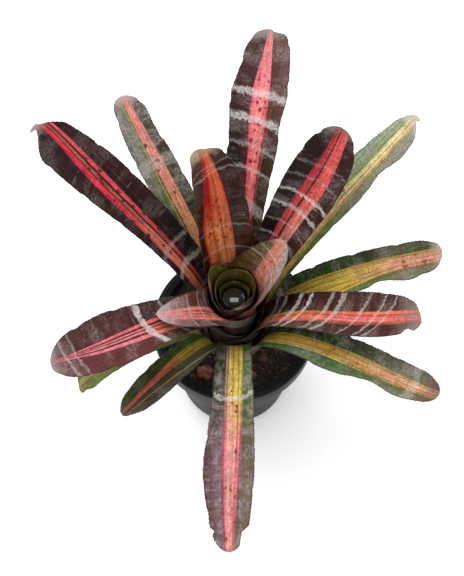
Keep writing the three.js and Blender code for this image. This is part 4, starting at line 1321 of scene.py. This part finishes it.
def make_leaf(number, settings, tree, spine_material):
    """One leaf with its skin and its row of spines."""
    mesh, margins = leaf_mesh(number, settings)
    material = leaf_finish(f"skin of {leaf_name(number)}", LOOKS[number], number, settings)
    margin = margin_object(margins)
    size = 0.6 if number >= INNER_RING else 1.0
    name = f"blade_{number + 1:02d}"
    spines = tree.run(margin, {"Pitch": settings.pitch, "Length": settings.spine * size,
                               "Base": 0.42 * settings.spine * size, "Seed": 11 + number,
                               "Material": spine_material})
    whole = joined([mesh, spines], name)
    bpy.data.objects.remove(margin)
    whole.materials.append(material)
    whole.materials.append(spine_material)
    return new_object(name, whole)


def stone_mesh(stone, number, detail):
    """A porous lump with a flat foot."""
    work = bmesh.new()
    bmesh.ops.create_icosphere(work, subdivisions=detail, radius=1.0)
    turn = math.radians(stone["turn"])
    sx, sy, sz = stone["size"]
    chip = stone["slot"] == "bark"
    for vert in work.verts:
        p = vert.co.copy()
        wave = 1 + 0.12 * math.sin(3 * p.x + 5 * p.y + 7 * number) + 0.08 * math.cos(6 * p.z + number)
        lumps = 0.07 * noise.fractal(p * 2.6 + Vector((number, 0, 0)), 0.8, 2.2, 4)
        pore = max(0.0, noise.noise(p * 6.5 + Vector((0, number * 3.1, 0))) - 0.12)
        fibre = 0.05 * noise.noise(Vector((p.x * 1.5, p.y * 14, p.z * 14))) if chip else 0.0
        p *= 0.93 * wave + lumps + fibre - (0.0 if chip else 0.35 * pore)
        p = Vector((p.x * sx, p.y * sy, p.z * sz))
        x = p.x * math.cos(turn) - p.y * math.sin(turn)
        y = p.x * math.sin(turn) + p.y * math.cos(turn)
        z = max(p.z, -0.45 * sz) + 0.45 * sz
        vert.co = Vector((x + stone["at"][0], y + stone["at"][1], z + STONE_FOOT)) * MM
    mesh = bpy.data.meshes.new(stone["name"])
    work.to_mesh(mesh)
    work.free()
    mesh.shade_smooth()
    return mesh


def stone_finish(stone):
    shader = Shader(f"surface of {stone['name']}")
    place = shader.place()
    cloud = shader.noise(place, 260.0, 5.0, 0.65)
    grain = shader.noise(place, 1500.0, 3.0, 0.7)
    shaded_pores = shader.rise(shader.cells(place, 900.0), 0.34, 0.18)
    color = shader.shade(shader.mix(shader.rise(cloud, 0.35, 0.65), stone["color"], "#4a2a20"),
                         shader.rise(grain, 0.25, 0.75, 0.7, 1.3))
    # The pores are painted dark: painted shade in their hollows
    color = shader.mix(shader.times(shaded_pores, 0.6), color, "#23120c")
    shader.set("Base Color", color)
    shader.set("Roughness", shader.rise(grain, 0.3, 0.7, 0.78, 0.95))
    height = shader.math("SUBTRACT", shader.plus(cloud, grain), shader.times(shaded_pores, 1.4))
    shader.bump(height, 0.0006, 0.9)
    return shader.material


def stem_geometry():
    """Points and faces of the root and the low crown, ringed where old leaves have come away."""
    root = CROWN["root_radius"]
    collar = CROWN["collar"] - 0.1
    wide = CROWN["radius"]
    profile = [(0, CROWN["root_end"]), (root - 3, CROWN["root_end"]), (root, CROWN["root_end"] + 8)]
    for k in range(1, 14):
        height = CROWN["root_end"] + 8 + k * (collar - CROWN["root_end"] - 9) / 14
        profile.append((root - (0.35 if k % 2 else 0.0), height))
    profile += [(root, collar), (wide - 0.8, collar), (wide - 0.2, collar + 0.35)]
    rings = 24
    for k in range(rings + 1):
        radius = wide - 0.1 + (5 - wide) * k / rings
        profile.append((radius, crown_height(radius) - (0.3 if k % 2 else 0.05)))
    profile += [(4, crown_height(4) + 1.4), (2, crown_height(4) + 2.2), (0, crown_height(4) + 2.4)]
    return lathe(profile, 96)


def stem_finish():
    shader = Shader("stem bark")
    place = shader.place()
    cloud = shader.noise(place, 180.0, 5.0, 0.6)
    fibre = shader.noise(shader.stretch(place, (900, 900, 90)), 1.0, 3.0, 0.6)
    color = shader.ramp(cloud, [(0.3, "#2a1a10"), (0.5, "#4a3320"), (0.7, "#6a4c30")])
    shader.set("Base Color", shader.shade(color, shader.rise(fibre, 0.25, 0.75, 0.65, 1.25)))
    shader.set("Roughness", shader.rise(fibre, 0.3, 0.7, 0.7, 0.9))
    shader.bump(shader.plus(cloud, fibre), 0.0005, 0.8)
    return shader.material


def water_geometry():
    """Points and faces of the water in the central cup, with its surface curved up at the edge."""
    bottom = WATER_BOX[0][2] / MM
    level = WATER_BOX[1][2] / MM
    base = FOOT["outer"] - FOOT["step"] * LEAVES[-1]["whorl"]
    low = base + (bottom - crown_height(base)) / math.tan(math.radians(SHEATH_PITCH)) - 2
    high = WATER_BOX[1][0] / MM
    profile = [(0, bottom), (low - 1, bottom), (low, bottom + 1), (high, level - 0.2)]
    rings = 16
    for k in range(rings + 1):
        share = 1 - k / rings
        profile.append((high * 0.995 * share, level - 0.05 - 0.5 * (1 - share**2.2)))
    return lathe(profile, 96)


def water_finish():
    shader = Shader("tank water")
    ripple = shader.noise(shader.place(), 40.0, 1.0, 0.5)
    # The water is painted near-black olive and lets little light through: painted shade of the deep cup below
    # it
    cup_shade_tint = shader.ramp(ripple, [(0.3, "#1c1a0a"), (0.7, "#26230f")])
    shader.set("Base Color", cup_shade_tint)
    shader.set("Roughness", 0.02)
    shader.set("IOR", 1.333)
    shader.set("Specular IOR Level", 0.1)
    shader.set("Transmission Weight", 0.2)
    shader.bump(ripple, 0.00003, 0.05)
    return shader.material


def floor_finish():
    shader = Shader("pale floor")
    cloud = shader.noise(shader.place(), 3.0, 3.0, 0.5)
    shader.set("Base Color", shader.ramp(cloud, [(0.3, "#f4f4f4"), (0.7, "#f6f6f6")]))
    shader.set("Roughness", 0.75)
    return shader.material


def area_light(name, light, power):
    data = bpy.data.lights.new(name, "AREA")
    data.shape = "RECTANGLE"
    data.size, data.size_y = light["size"]
    data.energy = power
    obj = new_object(name, data)
    obj.location = light["place"]
    aim = Vector(light["aim"]) - Vector(light["place"])
    obj.rotation_euler = aim.to_track_quat("-Z", "Y").to_euler()


def white_surround(strength):
    world = bpy.data.worlds.new("white surround")
    world.use_nodes = True
    background = world.node_tree.nodes["Background"]
    background.inputs["Color"].default_value = (1, 1, 1, 1)
    background.inputs["Strength"].default_value = strength
    return world


def photo_camera(elevation):
    """A camera that stands where the photo was taken from."""
    data = bpy.data.cameras.new("camera")
    data.sensor_fit = "VERTICAL"
    data.sensor_height = CAMERA["sensor"]
    data.lens = CAMERA["focal"] * CAMERA["sensor"] / CAMERA["picture"]
    data.clip_start = 0.05
    data.clip_end = 50
    camera = new_object("camera", data)
    camera.location = CAMERA["place"]
    camera.rotation_euler = (math.pi / 2 - elevation, 0, 0)
    return camera


class BROMELIAD_OT_pot(bpy.types.Operator):
    """Make the black pot with its turned-down rim and drainage holes"""

    bl_idname = "bromeliad.pot"
    bl_label = "Pot"

    def execute(self, context):
        settings = context.scene.bromeliad_pot
        points, faces = pot_geometry(settings)
        obj = new_object("nursery_pot", mesh_from("nursery_pot", points, faces))
        drill_holes(obj, settings)
        obj.data.shade_smooth()
        obj.data.materials.append(plastic_finish(settings))
        finish_piece(obj, "pot")
        return {"FINISHED"}


class BROMELIAD_OT_soil(bpy.types.Operator):
    """Make the potting mix with its crumbs, chips and grains"""

    bl_idname = "bromeliad.soil"
    bl_label = "Soil"

    def execute(self, context):
        settings = context.scene.bromeliad_soil
        points, faces = soil_geometry(settings)
        mesh = mesh_from("potting_mix", points, faces)
        bed = crumb_bed(points, faces, settings.level / MM)
        tree = crumb_tree()
        meshes = [mesh]
        materials = [soil_finish()]
        for shift, (label, size, density, spread, material) in enumerate(crumb_kinds(settings)):
            holder = new_object(label, bed.copy())
            meshes.append(tree.run(holder, {"Density": density, "Size": size, "Spread": spread,
                                            "Lumpiness": 0.9, "Seed": settings.seed + shift,
                                            "Material": material}))
            materials.append(material)
            bpy.data.objects.remove(holder)
        whole = joined(meshes, "potting_mix")
        for material in materials:
            whole.materials.append(material)
        obj = new_object("potting_mix", whole)
        finish_piece(obj, "soil")
        return {"FINISHED"}


class BROMELIAD_OT_stones(bpy.types.Operator):
    """Make the lava rocks, stones and bark chip on the soil"""

    bl_idname = "bromeliad.stones"
    bl_label = "Stones"

    def execute(self, context):
        for number, stone in enumerate(STONES):
            detail = 5 if max(stone["size"]) > 5 else 4
            mesh = stone_mesh(stone, number, detail)
            mesh.materials.append(stone_finish(stone))
            finish_piece(new_object(f"{stone['name']}_lump", mesh), stone["name"])
        return {"FINISHED"}


class BROMELIAD_OT_stem(bpy.types.Operator):
    """Make the short stem that the leaves grow from"""

    bl_idname = "bromeliad.stem"
    bl_label = "Stem"

    def execute(self, context):
        points, faces = stem_geometry()
        obj = new_object("short_stem", mesh_from("short_stem", points, faces))
        obj.data.materials.append(stem_finish())
        finish_piece(obj, "stem")
        return {"FINISHED"}


class BROMELIAD_OT_leaves(bpy.types.Operator):
    """Make the eighteen striped leaves with their spiny margins"""

    bl_idname = "bromeliad.leaves"
    bl_label = "Leaves"

    def execute(self, context):
        settings = context.scene.bromeliad_leaves
        tree = spine_tree()
        spines = spine_finish()
        for number in range(len(LEAVES)):
            obj = make_leaf(number, settings, tree, spines)
            finish_piece(obj, leaf_name(number))
        return {"FINISHED"}


class BROMELIAD_OT_water(bpy.types.Operator):
    """Make the water held in the central cup"""

    bl_idname = "bromeliad.water"
    bl_label = "Water"

    def execute(self, context):
        points, faces = water_geometry()
        obj = new_object("cup_water", mesh_from("cup_water", points, faces))
        obj.data.materials.append(water_finish())
        finish_piece(obj, "tank_water")
        return {"FINISHED"}


class BROMELIAD_OT_stage(bpy.types.Operator):
    """Make the pale floor, the soft lights and the camera"""

    bl_idname = "bromeliad.stage"
    bl_label = "Stage"

    def execute(self, context):
        settings = context.scene.bromeliad_stage
        half = settings.floor / 2 / MM
        corners = [(-half, -half, 0), (half, -half, 0), (half, half, 0), (-half, half, 0)]
        floor = new_object("floor", mesh_from("floor", corners, [(0, 1, 2, 3)]))
        floor.data.materials.append(floor_finish())
        context.scene.world = white_surround(settings.sky)
        area_light("key light", KEY_LIGHT, settings.key)
        area_light("window", WINDOW, WINDOW_POWER)
        context.scene.camera = photo_camera(settings.elevation)
        context.scene.view_settings.view_transform = "Standard"
        return {"FINISHED"}


class BROMELIAD_PT_panel(bpy.types.Panel):
    """Lists the pieces of the plant and its stage"""

    bl_idname = "BROMELIAD_PT_panel"
    bl_label = "Bromeliad"
    bl_space_type = "VIEW_3D"
    bl_region_type = "UI"
    bl_category = "Bromeliad"

    def draw(self, context):
        for operator in OPERATORS:
            self.layout.operator(operator.bl_idname)
        for name in SETTINGS:
            group = getattr(context.scene, name)
            box = self.layout.box()
            for key in group.bl_rna.properties.keys():
                if key not in ("name", "rna_type"):
                    box.prop(group, key)


SETTINGS = {
    "bromeliad_pot": PotSettings,
    "bromeliad_soil": SoilSettings,
    "bromeliad_leaves": LeafSettings,
    "bromeliad_stage": StageSettings,
}
OPERATORS = (
    BROMELIAD_OT_pot,
    BROMELIAD_OT_soil,
    BROMELIAD_OT_stones,
    BROMELIAD_OT_stem,
    BROMELIAD_OT_leaves,
    BROMELIAD_OT_water,
    BROMELIAD_OT_stage,
)


def register():
    for kind in (*SETTINGS.values(), *OPERATORS, BROMELIAD_PT_panel):
        bpy.utils.register_class(kind)
    for name, kind in SETTINGS.items():
        setattr(bpy.types.Scene, name, bpy.props.PointerProperty(type=kind))


def unregister():
    for name in SETTINGS:
        delattr(bpy.types.Scene, name)
    for kind in reversed((*SETTINGS.values(), *OPERATORS, BROMELIAD_PT_panel)):
        bpy.utils.unregister_class(kind)


def main():
    register()
    for kind in OPERATORS:
        group, name = kind.bl_idname.split(".")
        getattr(getattr(bpy.ops, group), name)()


if __name__ == "__main__":
    main()
